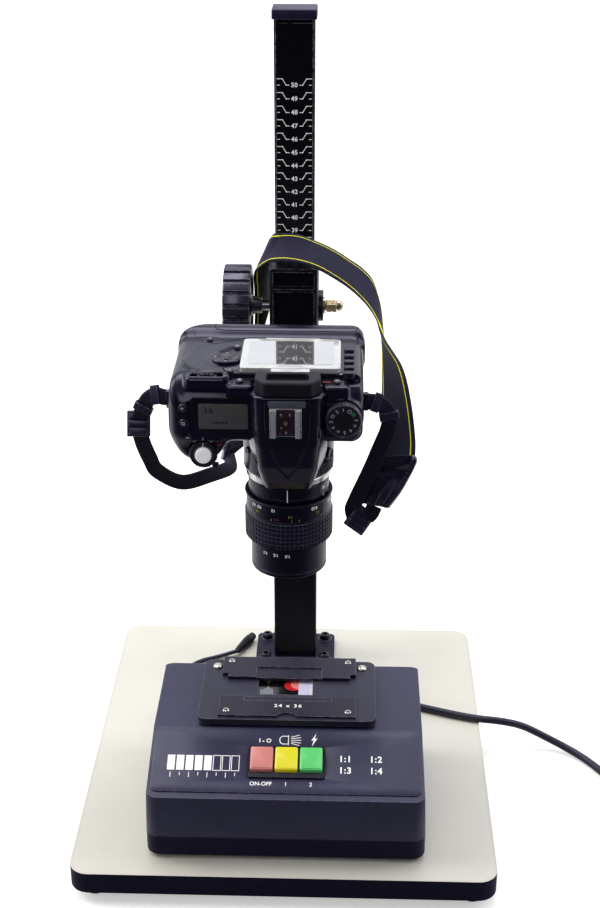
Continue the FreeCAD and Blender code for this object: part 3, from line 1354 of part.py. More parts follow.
# The strap's two edges at each section, from its left tab up round the housing to its right
# tab: across from the middle of the board, back from the column's face, up from the carriage.
STRAP_EDGES = [
    ((-51, -97, -49.5), (-43, -91.5, -48)), ((-50, -93, -45), (-32, -82, -42)),
    ((-49, -90.5, -40), (-20, -72.5, -36)), ((-42, -68.5, -18), (-22, -38.5, -12)),
    ((-33, -34.5, 4), (-25, 0.5, 8)), ((-28, 1.5, 27), (-25, 36.5, 27)),
    ((-27, 1.5, 54), (-24.5, 36.5, 56)), ((-27, -14.5, 68), (-22, 15.5, 82)),
    ((-22, -24, 79), (-18, -1, 92)), ((-7, -28, 79), (-6, -4, 97)),
    ((6.5, -28.5, 79), (5, -4, 97)), ((21.7, -31, 74.5), (22, -4.5, 92)),
    ((36.5, -42.5, 63), (40, -15.5, 79)), ((50.5, -56.5, 57.5), (52.2, -28.5, 77)),
    ((60.8, -76.5, 53.5), (62, -46.5, 68)), ((67.4, -106.5, 50.8), (66, -73.5, 42.5)),
    ((78.9, -140.5, 45), (66.6, -106.5, 29)), ((85, -156.5, 26), (66.4, -128.5, 14)),
    ((88.5, -170.5, 1.8), (67, -144.5, -8.3)), ((87.9, -178.5, -12), (60, -158.5, -25)),
    ((79, -179.5, -32), (57, -168, -38)), ((70.5, -180.5, -45), (55, -170.5, -47)),
]
# The middle lines of the webbing that ties the strap's ends to the lugs, in the same way.
LEFT_WEBBING = [
    (-47, -94.5, -48.5), (-44.6, -107.5, -51), (-58, -122.5, -50.4), (-77, -137.5, -49),
    (-92.5, -150.5, -34), (-97, -156.5, -21), (-101, -162.5, -4), (-102, -167.5, 12),
    (-98, -169.5, 23.7), (-94, -170.5, 31), (-89, -171.5, 34.5), (-83.8, -172.5, 33.5),
]
RIGHT_WEBBING = [
    (48.2, -173.5, -58), (46.2, -174, -50), (48.6, -174.5, -42.4), (57.9, -175, -19.4),
    (64.4, -175, -1.7), (69.6, -174.5, 14.3), (68, -173.5, 24), (63.5, -172.5, 30),
    (58.2, -172.5, 32),
]
RIGHT_TAIL = [(61.5, -175.5, -46.5), (59.5, -175, -52), (56.5, -174.5, -56)]
STRAP_FACING = FreeCAD.Vector(0, -0.9, 0.43)


def ribbon(name, edges, thick):
    """A flat strip through pairs of edge points, as one ruled solid."""
    base = FreeCAD.Vector(0, size("column_face"), size("carriage_low"))
    pairs = [(base + FreeCAD.Vector(*a), base + FreeCAD.Vector(*b)) for a, b in edges]
    middles = [(a + b) * 0.5 for a, b in pairs]
    sections = []
    for i, (a, b) in enumerate(pairs):
        onward = middles[min(i + 1, len(middles) - 1)] - middles[max(i - 1, 0)]
        half = (b - a).cross(onward).normalize() * (size(thick) / 2)
        sections.append(Part.makePolygon([a + half, b + half, b - half, a - half, a + half]))
    strip = doc.addObject("Part::Feature", name)
    strip.Shape = Part.makeLoft(sections, True, True)
    return strip


def webbing(name, line):
    """A narrow strip along a middle line, its flat side to the front."""
    points = [FreeCAD.Vector(*point) for point in line]
    edges = []
    for i, point in enumerate(points):
        onward = points[min(i + 1, len(points) - 1)] - points[max(i - 1, 0)]
        across = onward.cross(STRAP_FACING).normalize() * (size("webbing_wide") / 2)
        edges.append((point - across, point + across))
    return ribbon(name, edges, "webbing_thick")


def buckle(name, x, ahead, up, turn):
    """A slider on the webbing, its long side turned from upright towards +X."""
    piece = rounded(name + "_block", "buckle_wide", "buckle_thick", "buckle_long", "2",
                    z="-buckle_long / 2", axis=INWARD)
    made = group(name, [piece])
    made.Placement = FreeCAD.Placement(FreeCAD.Vector(), FreeCAD.Rotation(INWARD, turn))
    return move(made, x, f"column_face - {ahead}", f"carriage_low + {up}")


def make_strap():
    node("strap_band", group("band", [ribbon("band_strip", STRAP_EDGES, "strap_thick")]))
    node("strap_ends", join(
        "ends", webbing("left_webbing", LEFT_WEBBING), webbing("right_webbing", RIGHT_WEBBING),
        webbing("right_tail", RIGHT_TAIL), buckle("left_buckle", -102, 167.5, 11, 0),
        buckle("right_buckle", 51.5, 174.5, -57.5, 38),
    ))


make_board()
make_column()
make_carriage()
make_drive()
make_camera_shell()
make_camera_back()
make_camera_top()
make_lens()
make_unit_shells()
make_switches()
make_stage()
make_inside()
make_leads()
make_strap()

# ---- files ------------------------------------------------------------------------------


def write_files():
    doc.recompute()
    for piece in doc.Objects:
        if any(state in ("Invalid", "Error") for state in piece.State):
            raise RuntimeError(f"{piece.Name} ({piece.Label}) failed: {piece.State}")
    os.makedirs("parts", exist_ok=True)
    for piece in NODES:
        if piece.Shape.isNull() or not piece.Shape.isValid():
            raise RuntimeError(f"{piece.Label} has no valid shape")
        piece.Shape.exportStep(f"parts/{piece.Label}.step")
    print(len(NODES), "sub-parts")


write_files()
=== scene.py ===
import math

import bmesh
import bpy
import numpy as np
from mathutils import Matrix, Vector


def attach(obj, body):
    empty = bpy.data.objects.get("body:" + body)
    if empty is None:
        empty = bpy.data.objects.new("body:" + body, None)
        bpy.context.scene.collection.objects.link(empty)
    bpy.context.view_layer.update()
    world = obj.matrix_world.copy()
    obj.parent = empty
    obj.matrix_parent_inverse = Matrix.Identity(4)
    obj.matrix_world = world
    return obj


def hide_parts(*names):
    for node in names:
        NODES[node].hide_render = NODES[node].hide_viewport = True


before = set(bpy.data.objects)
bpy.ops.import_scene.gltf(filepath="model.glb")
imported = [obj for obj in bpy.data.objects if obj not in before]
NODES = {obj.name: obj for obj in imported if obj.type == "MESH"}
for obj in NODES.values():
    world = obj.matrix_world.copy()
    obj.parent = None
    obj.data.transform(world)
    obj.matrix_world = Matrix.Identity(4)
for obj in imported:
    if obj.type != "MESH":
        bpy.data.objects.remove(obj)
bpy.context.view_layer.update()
MM = 0.001

# Slide duplicator. The meshes are worked out in millimetres in the CAD's own frame
# (+X right, +Y away from the user, +Z up) and scaled to metres when an object is made of them.


# ---------------------------------------------------------------- camera and cords

# the photograph's camera, solved from places of known size: metres, degrees and millimetres
CAMERA_PLACE = (0.03834, -0.99577, 0.76055)
CAMERA_TILT, CAMERA_TURN = 64.288, 1.769
CAMERA_LENS, CAMERA_FRAME = 59.67, 36.0

MAINS_ACROSS, SYNC_ACROSS = 6.0, 3.5
MAINS_ROUTE = [
    (25, 12, 37.8), (25, 26, 37.1), (30, 39.1, 34.9), (39.6, 49.3, 32), (52.3, 55.2, 29.8),
    (66.3, 55.9, 29.05), (88, 48.7, 29.05), (116, 38, 29.05), (148, 27, 29.2), (171, 25, 28.6),
    (190, 29.2, 21.5), (208, 28.8, 11.5),
    (224, 24, 5.2), (239, 12, 3), (252, -7, 3), (262.4, -26.6, 3),
]
TAIL_ROUTE = [(356.5, -17, 3.2), (355.5, -4, 4.6), (351.5, 8, 6.6), (348.5, 20, 7)]
SYNC_ROUTE = [
    (-64, 4, 37.8), (-63.5, 18, 36.2), (-56, 33, 32), (-41, 41, 29), (-23, 43.5, 27.8), (-8, 53, 27.8),
    (-3, 70, 27.8), (-12, 84, 27.8), (-29, 88, 27.8), (-47, 82, 27.8), (-63, 71.5, 27.8), (-80, 68, 27.8),
    (-93, 77, 27.8), (-93.5, 94, 27.8), (-82.5, 107.5, 27.8), (-66, 113, 28.4), (-51, 119.5, 30.4),
]
COIL_CENTRE = (309, -26)
COIL_START = -152
COIL_POINTS_PER_TURN = 16
# turns gone, radius of the turn, height of the cord's centre
COIL_TURNS = [
    (0.0, 42, 3), (0.84, 42, 3), (1.0, 36, 3), (1.84, 36, 3), (2.0, 30, 3), (2.55, 30, 3), (3.0, 30, 9),
    (3.84, 30, 9), (4.0, 36, 9), (4.84, 36, 9), (5.0, 42, 9), (6.02, 42, 9), (6.24, 48, 3.4), (6.422, 48, 3),
]


def add_object(name, data):
    obj = bpy.data.objects.new(name, data)
    bpy.context.scene.collection.objects.link(obj)
    return obj


def make_camera():
    data = bpy.data.cameras.new("view")
    data.sensor_fit = "VERTICAL"
    data.sensor_height = CAMERA_FRAME
    data.lens = CAMERA_LENS
    data.clip_start = 0.01
    camera = add_object("view", data)
    camera.location = CAMERA_PLACE
    camera.rotation_euler = (math.radians(CAMERA_TILT), 0.0, math.radians(CAMERA_TURN))
    bpy.context.scene.camera = camera


def nurbs(name, points, diameter, resolution, sides):
    """A round cord along one smooth NURBS spline; points in millimetres."""
    curve = bpy.data.curves.new(name, "CURVE")
    curve.dimensions = "3D"
    # the points' own radius carries the thickness, so the curve's box stays true
    curve.bevel_depth = 1.0
    curve.bevel_resolution = sides
    curve.use_fill_caps = True
    spline = curve.splines.new("NURBS")
    spline.points.add(len(points) - 1)
    for knot, point in zip(spline.points, points):
        knot.co = (*(Vector(point) * MM), 1.0)
        knot.radius = diameter / 2 * MM
    spline.order_u = 3
    spline.use_endpoint_u = True
    spline.resolution_u = resolution
    return add_object(name, curve)


def polar(centre, radius, angle):
    """A point in a plane at an angle in radians round a centre."""
    return centre[0] + radius * math.cos(angle), centre[1] + radius * math.sin(angle)


def circle(radius, count):
    return [polar((0, 0), radius, math.tau * k / count) for k in range(count)]


def coil_points():
    """Two layers of three turns, the lower wound inwards and the upper outwards."""
    # the spline cuts its corners, so its points stand a little further out
    swell = 1 / (0.75 + 0.25 * math.cos(math.tau / COIL_POINTS_PER_TURN))
    turns, radii, heights = zip(*COIL_TURNS)
    points = []
    steps = int(turns[-1] * COIL_POINTS_PER_TURN)
    for step in range(steps + 1):
        turn = turns[-1] * step / steps
        radius = float(np.interp(turn, turns, radii)) * swell
        around = polar(COIL_CENTRE, radius, math.radians(COIL_START) + turn * math.tau)
        points.append((*around, float(np.interp(turn, turns, heights))))
    return points


def make_cords():
    mains = nurbs("mains_lead", MAINS_ROUTE + coil_points() + TAIL_ROUTE, MAINS_ACROSS, 5, 5)
    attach(mains, "stand")
    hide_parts("mains_cord", "cord_coil")
    sync = nurbs("sync_lead", SYNC_ROUTE, SYNC_ACROSS, 8, 4)
    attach(sync, "stand")
    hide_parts("sync_cord")
    return mains, sync


make_camera()
mains_lead, sync_lead = make_cords()


# ---------------------------------------------------------------- materials

# dark plastics and paints reflect a little bluer than the room
SHEEN_TINT = (0.80, 0.78, 1.0, 1.0)
# painted glow that makes white print and the release cap brighter
PAINTED_WHITE_GLOW = (1, 1, 0.98, 1)


def rgb(*values):
    """A colour written as sRGB 0 to 255."""
    shares = [value / 255 for value in values]
    return (*(v / 12.92 if v <= 0.04045 else ((v + 0.055) / 1.055) ** 2.4 for v in shares), 1.0)


def darker(colour, share):
    return (*(share * v for v in colour[:3]), 1.0)


def add_node(tree, kind, inputs=None, **settings):
    """A shader node; each input is another node's output or a value."""
    node = tree.nodes.new("ShaderNode" + kind)
    for name, value in settings.items():
        setattr(node, name, value)
    for name, value in (inputs or {}).items():
        if isinstance(value, bpy.types.NodeSocket):
            tree.links.new(value, node.inputs[name])
        else:
            node.inputs[name].default_value = value
    return node


def mix_colours(tree, factor, first, second):
    return add_node(tree, "Mix", {0: factor, 6: first, 7: second}, data_type="RGBA").outputs[2]


class Finish:
    """A material's node tree, with short calls to add to it."""

    def __init__(self, name, **sockets):
        self.material = bpy.data.materials.new(name)
        self.material.use_nodes = True
        self.tree = self.material.node_tree
        self.shader = self.tree.nodes["Principled BSDF"]
        self.place = self.add("TexCoord").outputs["Object"]
        self.set(**sockets)

    def set(self, **sockets):
        for socket, value in sockets.items():
            self.shader.inputs[socket.replace("_", " ")].default_value = value

    def add(self, kind, inputs=None, **settings):
        return add_node(self.tree, kind, inputs, **settings)

    def link(self, **sockets):
        for socket, output in sockets.items():
            self.tree.links.new(output, self.shader.inputs[socket.replace("_", " ")])

    def noise(self, size, detail=3.0, rough=0.5, stretch=None):
        """Noise from about 0 to 1 whose features are this many millimetres across."""
        place = self.place
        if stretch:
            place = self.add("Mapping", {"Vector": place, "Scale": stretch}).outputs[0]
        return self.add("TexNoise", {"Vector": place, "Scale": 1 / (size * MM), "Detail": detail,
                                     "Roughness": rough}).outputs["Fac"]

    def ramp(self, value, low, high, to_low=0.0, to_high=1.0):
        return self.add("MapRange", {"Value": value, "From Min": low, "From Max": high, "To Min": to_low,
                                     "To Max": to_high}).outputs["Result"]

    def patches(self, size, detail=3.0, rough=0.5, low=0.0, high=1.0):
        """Soft patches this many millimetres across, from low to high."""
        return self.ramp(self.noise(size, detail, rough), 0.3, 0.7, low, high)

    def mix(self, factor, first, second):
        return mix_colours(self.tree, factor, first, second)

    def maths(self, operation, *values):
        return self.add("Math", dict(enumerate(values)), operation=operation).outputs[0]

    def times(self, *values):
        return self.maths("MULTIPLY", *values)

    def split(self, vector=None):
        return self.add("SeparateXYZ", {"Vector": vector or self.place}).outputs

    def bump(self, height, depth):
        """Depth in millimetres between height 0 and 1."""
        return self.add("Bump", {"Height": height, "Strength": 1.0, "Distance": depth * MM}).outputs["Normal"]

    def rubbed(self, radius):
        """1 on edges sharper than this radius in millimetres, in spots: edges worn by use, and a painted
        highlight where edges catch the light.
        """
        bevel = self.add("Bevel", {"Radius": radius * MM}, samples=4).outputs["Normal"]
        flat = self.add("NewGeometry").outputs["Normal"]
        dot = self.add("VectorMath", {0: bevel, 1: flat}, operation="DOT_PRODUCT").outputs["Value"]
        return self.times(self.ramp(dot, 0.995, 0.9), self.ramp(self.noise(3.0), 0.35, 0.6))


def moulded(name, colour, other=None, rough=(0.4, 0.55), blotch=28.0, grain=0.5, depth=0.02, wear_and_highlight_radius=None,
            worn=None, above=None, **sockets):
    """Moulded, painted or cast surface: faint blotches and a fine grain.
    Its edges can be made paler, worn by use and with a painted highlight, and it can have another colour
    above a height."""
    finish = Finish(name, **{"Specular_IOR_Level": 0.4, "Specular_Tint": SHEEN_TINT, **sockets})
    paint_in = finish.mix(finish.patches(blotch, 4.0, 0.6), colour, other or darker(colour, 0.82))
    if above:
        height, upper = above
        higher = finish.ramp(finish.split()[2], height * MM, (height + 0.8) * MM)
        paint_in = finish.mix(higher, paint_in, upper)
    # worn is the colour of the paler edges: worn by use, and partly a painted highlight
    if wear_and_highlight_radius:
        paint_in = finish.mix(finish.rubbed(wear_and_highlight_radius), paint_in, worn)
    finish.link(Base_Color=paint_in, Roughness=finish.patches(blotch / 3, 5.0, 0.7, *rough),
                Normal=finish.bump(finish.noise(grain, 2.0), depth))
    return finish.material


def brushed(name, colour, rough=(0.22, 0.4), stretch=(1, 1, 12), grain=0.25, depth=0.006, metallic=1.0):
    """Machined or brushed metal; the lines run across the stretched axis."""
    finish = Finish(name, Metallic=metallic)
    lines = finish.noise(grain, 3.0, 0.6, stretch)
    finish.link(Base_Color=finish.mix(finish.ramp(lines, 0.3, 0.7), darker(colour, 0.72), colour),
                Roughness=finish.patches(9.0, 4.0, 0.7, *rough), Normal=finish.bump(lines, depth))
    return finish.material


def paint(material, *nodes):
    for node in nodes:
        for slot in NODES[node].material_slots:
            slot.material = material


# ---------------------------------------------------------------- floor, background and light

FLOOR_HALF = 9
FLOOR_WHITE = (0.84, 0.84, 0.82, 1), (0.86, 0.86, 0.85, 1)
FLOOR_DARK = (0.045, 0.042, 0.07, 1)
ROOM_FRONT = (0.020, 0.018, 0.046, 1)
ROOM_BACK = (0.93, 0.95, 1.0, 1)
BACKDROP = (1.0, 1.0, 0.985, 1)
# name, place, target, wide, tall, watts, colour
LAMPS = [
    ("left_box", (-1.35, 0.1, 1.25), (0.0, 0.0, 0.25), 0.8, 1.2, 14, (1.0, 0.985, 0.95)),
    ("right_box", (1.4, 0.15, 1.15), (0.0, 0.0, 0.25), 0.7, 1.1, 7, (0.96, 0.98, 1.0)),
    ("top_box", (-0.1, 0.45, 1.9), (0.0, 0.0, 0.15), 1.6, 0.9, 19, (1.0, 1.0, 1.0)),
    ("front_fill", (-0.5, -1.6, 1.5), (0.0, 0.0, 0.25), 0.9, 0.9, 6, (1.0, 0.99, 0.97)),
]


def make_floor():
    mesh = bpy.data.meshes.new("floor")
    corners = [(x * FLOOR_HALF, y * FLOOR_HALF, 0) for x, y in ((-1, -1), (1, -1), (1, 1), (-1, 1))]
    mesh.from_pydata(corners, [], [(0, 1, 2, 3)])
    floor = add_object("floor", mesh)
    finish = Finish("floor_paper", Roughness=0.9, Emission_Color=(1.0, 0.995, 0.98, 1.0))
    white = finish.mix(finish.patches(900.0, 2.0), *FLOOR_WHITE)
    # towards the user the floor is dark to everything but the camera, as in front of a black cloth
    camera_ray = finish.add("LightPath").outputs["Is Camera Ray"]
    lit = finish.maths("MAXIMUM", camera_ray, finish.ramp(finish.split()[1], -0.35, 0.15))
    # the paper runs out into the white background
    away = finish.add("VectorMath", {0: finish.place}, operation="LENGTH").outputs["Value"]
    finish.link(Base_Color=finish.mix(lit, FLOOR_DARK, white),
                Emission_Strength=finish.times(camera_ray, finish.ramp(away, 0.7, 3.0, 0.42, 1.0)))
    mesh.materials.append(finish.material)


def make_world():
    """The room is bright behind the object and dim in front of it, as in front of a paper backdrop."""
    world = bpy.data.worlds.new("studio")
    bpy.context.scene.world = world
    world.use_nodes = True
    tree = world.node_tree
    tree.nodes.clear()
    way = add_node(tree, "SeparateXYZ", {0: add_node(tree, "TexCoord").outputs["Generated"]}).outputs["Y"]
    glow = add_node(tree, "MapRange", {"Value": way, "From Min": -0.75, "From Max": 0.35},
                    interpolation_type="SMOOTHSTEP").outputs[0]
    room = mix_colours(tree, glow, ROOM_FRONT, ROOM_BACK)
    light, back = (add_node(tree, "Background", {"Color": colour}).outputs[0] for colour in (room, BACKDROP))
    path = add_node(tree, "LightPath").outputs
    seen = add_node(tree, "Math", {0: path["Is Camera Ray"], 1: path["Is Transmission Ray"]},
                    operation="MAXIMUM")
    shown = add_node(tree, "MixShader", {0: seen.outputs[0], 1: light, 2: back}).outputs[0]
    add_node(tree, "OutputWorld", {0: shown})


def make_lamps():
    for name, place, target, wide, tall, watts, colour in LAMPS:
        data = bpy.data.lights.new(name, "AREA")
        data.shape = "RECTANGLE"
        data.size = wide
        data.size_y = tall
        data.energy = watts
        data.color = colour
        lamp = add_object(name, data)
        lamp.location = place
        lamp.rotation_euler = (Vector(target) - Vector(place)).to_track_quat("-Z", "Y").to_euler()


make_floor()
make_world()
make_lamps()
bpy.context.scene.view_settings.view_transform = "Standard"


# ---------------------------------------------------------------- mesh tools (millimetres)

# where printed marks begin and end, out from the face they are on
PRINT_SUNK, PRINT_RISE = -0.02, 0.06


# A face to draw on or build from is (origin, u direction, v direction); its normal is u x v.

def top_at(x=0, y=0, z=0):
    """A face that looks up."""
    return (x, y, z), (1, 0, 0), (0, 1, 0)


def front_at(x=0, y=0, z=0):
    """A face that looks towards the user."""
    return (x, y, z), (1, 0, 0), (0, 0, 1)


def finish_object(name, mesh, body, material, angle=None, replaces=()):
    """A smooth object that rides on a body; edges sharper than an angle in degrees stay sharp."""
    obj = add_object(name, mesh)
    mesh.materials.append(material)
    mesh.shade_smooth()
    if angle:
        mesh.set_sharp_from_angle(angle=math.radians(angle))
    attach(obj, body)
    if replaces:
        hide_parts(*replaces)
    return obj


def new_object(name, points, faces, body, material, replaces=()):
    """An object of the given points in millimetres."""
    mesh = bpy.data.meshes.new(name)
    mesh.from_pydata((np.asarray(points, float) * MM).tolist(), [], [list(map(int, face)) for face in faces])
    mesh.validate()
    return finish_object(name, mesh, body, material, None, replaces)


class Shape:
    """A bmesh in millimetres that several forms are gathered in before they become one object."""

    def __init__(self):
        self.bm = bmesh.new()

    def bevel(self, edges, size, segments):
        bmesh.ops.bevel(self.bm, geom=edges, offset=size, segments=segments, profile=0.5, affect="EDGES",
                        clamp_overlap=True)

    def rings(self, loops, face):
        """Rings of points for outlines given as (outline, height) on a face."""
        origin, u, v = (Vector(part) for part in face)
        normal = u.cross(v)
        return [[self.bm.verts.new(origin + u * a + v * b + normal * h) for a, b in outline]
                for outline, h in loops]

    def skin(self, rings, closed=False, caps=False):
        """Faces that join rings of points in turn; a ring of one point is a pole."""
        for lower, upper in list(zip(rings, rings[1:])) + ([(rings[-1], rings[0])] if closed else []):
            count = max(len(lower), len(upper))
            for i in range(count if count > 1 else 0):
                j = (i + 1) % count
                if len(lower) == 1:
                    loop = (lower[0], upper[i], upper[j])
                elif len(upper) == 1:
                    loop = (lower[i], lower[j], upper[0])
                else:
                    loop = (lower[i], lower[j], upper[j], upper[i])
                self.bm.faces.new(loop)
        if caps and not closed:
            self.bm.faces.new(list(reversed(rings[0])))
            self.bm.faces.new(rings[-1])

    def block(self, low, high, bevel=0.0, segments=2):
        low, high = Vector(low), Vector(high)
        where = Matrix.LocRotScale((low + high) / 2, None, high - low)
        made = bmesh.ops.create_cube(self.bm, size=1.0, matrix=where)["verts"]
        if bevel:
            self.bevel(list(dict.fromkeys(edge for vert in made for edge in vert.link_edges)), bevel,
                       segments)

    def lathe(self, profile, centre=(0, 0, 0), axis=(0, 0, 1), sides=48, wave=None, closed=False):
        """Rings of (radius, height) about an axis; wave(angle, index) scales a ring's radius."""
        turn = Vector((0, 0, 1)).rotation_difference(Vector(axis)).to_matrix()
        rings = []
        for index, (radius, height) in enumerate(profile):
            ring = []
            for side in range(sides if radius > 0 else 1):
                angle = math.tau * side / sides
                r = radius * (wave(angle, index) if wave else 1.0)
                point = Vector((*polar((0, 0), r, angle), height))
                ring.append(self.bm.verts.new(Vector(centre) + turn @ point))
            rings.append(ring)
        self.skin(rings, closed)

    def tube(self, points, radius, sides=8, closed=False):
        points = [Vector(point) for point in points]
        count = len(points)
        rings, normal = [], None
        for i, point in enumerate(points):
            ahead = points[(i + 1) % count] if closed or i + 1 < count else point
            behind = points[i - 1] if closed or i else point
            onward = (ahead - behind).normalized()
            if normal is None:
                normal = onward.orthogonal().normalized()
            normal = (normal - onward * normal.dot(onward)).normalized()
            other = onward.cross(normal)
            rings.append([self.bm.verts.new(point + (normal * a + other * b) * radius)
                          for a, b in circle(1, sides)])
        self.skin(rings, closed, caps=True)

    def prism(self, outline, face, low, high, bevel=0.0, segments=2):
        """An outline pushed from low to high along a face's normal, with its upper edge bevelled."""
        before = set(self.bm.faces)
        ends = self.rings([(outline, low), (outline, high)], face)
        self.skin(ends)
        cap = self.bm.faces.new(ends[1])
        self.bm.faces.new(list(reversed(ends[0])))
        bmesh.ops.recalc_face_normals(self.bm, faces=[made for made in self.bm.faces if made not in before])
        if bevel:
            self.bevel(list(cap.edges), bevel, segments)

    def loft(self, loops, face, closed=False):
        """Outlines with as many points each, given as (outline, height), joined in turn."""
        self.skin(self.rings(loops, face), closed, caps=True)

    def slab(self, wide, tall, corner, centre, face, low, high, edge=0.5, steps=4):
        """A plate or key with round corners and a rounded upper edge."""
        def ring(inset, height):
            radius = max(corner - inset, 0.05)
            return rounded(wide - 2 * inset, tall - 2 * inset, radius, centre, steps), height
        loops = [ring(0, low)]
        for turn in (0, 30, 60, 90):
            a = math.radians(turn)
            loops.append(ring(edge * (1 - math.cos(a)), high - edge + edge * math.sin(a)))
        self.loft(loops, face)

    def patch(self, outline, face, rise=PRINT_RISE):
        """A printed shape."""
        self.loft([(outline, PRINT_SUNK), (outline, rise)], face)

    def stroke(self, points, width, face, rise=PRINT_RISE):
        """A printed line through (u, v) points."""
        for (a, b), (c, d) in zip(points, points[1:]):
            run = Vector((c - a, d - b)).normalized() * width / 2
            corners = [(a - run.x - run.y, b - run.y + run.x), (a - run.x + run.y, b - run.y - run.x),
                       (c + run.x + run.y, d + run.y - run.x), (c + run.x - run.y, d + run.y + run.x)]
            self.patch(corners, face, rise)

    def words(self, text, size, face, rise=PRINT_RISE, align="CENTER", spacing=1.0, bold=0.0):
        """Plain figures and letters."""
        data = bpy.data.curves.new("words", "FONT")
        data.body = text
        data.size = size
        data.align_x = align
        data.align_y = "CENTER"
        data.extrude = rise / 2
        data.offset = bold
        data.space_character = spacing
        data.resolution_u = 3
        holder = bpy.data.objects.new("words", data)
        mesh = bpy.data.meshes.new_from_object(holder)
        origin, u, v = (Vector(part) for part in face)
        matrix = Matrix((u, v, u.cross(v))).transposed().to_4x4()
        matrix.translation = origin + u.cross(v) * rise / 2
        mesh.transform(matrix)
        self.bm.from_mesh(mesh)
        bpy.data.objects.remove(holder)
        bpy.data.meshes.remove(mesh)

    def make(self, name, body, slot, material, angle=30, replaces=()):
        """The gathered forms as one object; with no angle it is smooth all over."""
        bmesh.ops.recalc_face_normals(self.bm, faces=self.bm.faces)
        bmesh.ops.scale(self.bm, vec=(MM, MM, MM), verts=self.bm.verts)
        mesh = bpy.data.meshes.new(name)
        self.bm.to_mesh(mesh)
        self.bm.free()
        return finish_object(name, mesh, body, material, angle, replaces)


def rounded(wide, tall, corner, centre=(0, 0), steps=4):
    """The outline of a rectangle with round corners."""
    points = []
    for index, (x, y) in enumerate(((1, 1), (-1, 1), (-1, -1), (1, -1))):
        middle = centre[0] + x * (wide / 2 - corner), centre[1] + y * (tall / 2 - corner)
        for step in range(steps + 1):
            points.append(polar(middle, corner, math.radians(90 * (index + step / steps))))
    return points


def hexagon(first):
    """A wave that makes a lathed form's rings from the first index on slightly six-sided."""
    return lambda angle, index: 0.93 + 0.07 * math.cos(6 * angle) if index >= first else 1.0


def knurled(depth, teeth, rows, level=0.0):
    """A wave that cuts square teeth into some rings of a lathed form."""
    def wave(angle, index):
        tooth = depth if math.sin(teeth * angle) > level else -depth
        return 1.0 + (tooth if index in rows else 0)
    return wave


# Soft bodies of moulded plastic are made from distance fields: blended solids that are then meshed.
# A field takes places in millimetres and gives the distance to a solid, below 0 inside it.

def soft_corner(q, corner):
    """Distance to a solid with rounded edges, from how far past its sides a place is."""
    return np.linalg.norm(np.maximum(q, 0), axis=-1) + np.minimum(q.max(-1), 0) - corner


def field_block(place, low, high, corner):
    low, high = np.asarray(low, float), np.asarray(high, float)
    q = np.abs(place - (low + high) / 2) - ((high - low) / 2 - corner)
    return soft_corner(q, corner).astype(np.float32)


def field_drum(place, centre, axis, radius, half, corner):
    """A round plate or rod about an axis through its centre."""
    away = [place[..., i] - centre[i] for i in range(3)]
    up = np.abs(away.pop(axis)) - (half - corner)
    return soft_corner(np.stack([np.hypot(*away) - (radius - corner), up], -1), corner).astype(np.float32)


def field_outline(u, v, outline):
    """Distance to a closed outline in a plane."""
    best = np.full(u.shape, 1e9, np.float32)
    inside = np.zeros(u.shape, bool)
    for (x0, y0), (x1, y1) in zip(outline, outline[1:] + outline[:1]):
        dx, dy = x1 - x0, y1 - y0
        t = np.clip(((u - x0) * dx + (v - y0) * dy) / (dx * dx + dy * dy), 0, 1)
        best = np.minimum(best, (u - x0 - t * dx) ** 2 + (v - y0 - t * dy) ** 2)
        inside ^= ((y0 > v) != (y1 > v)) & (u < dx * (v - y0) / (dy or 1e-9) + x0)
    return np.where(inside, -np.sqrt(best), np.sqrt(best)).astype(np.float32)


def meld(a, b, soft):
    """Both solids, blended over a soft width where they meet."""
    h = np.clip(0.5 + 0.5 * (b - a) / soft, 0, 1)
    return b * (1 - h) + a * h - soft * h * (1 - h)


def carve(a, b, soft):
    """Solid a without solid b."""
    return -meld(-a, b, soft)


def keep_inside(a, b, soft):
    """What solids a and b share."""
    return -meld(-a, -b, soft)


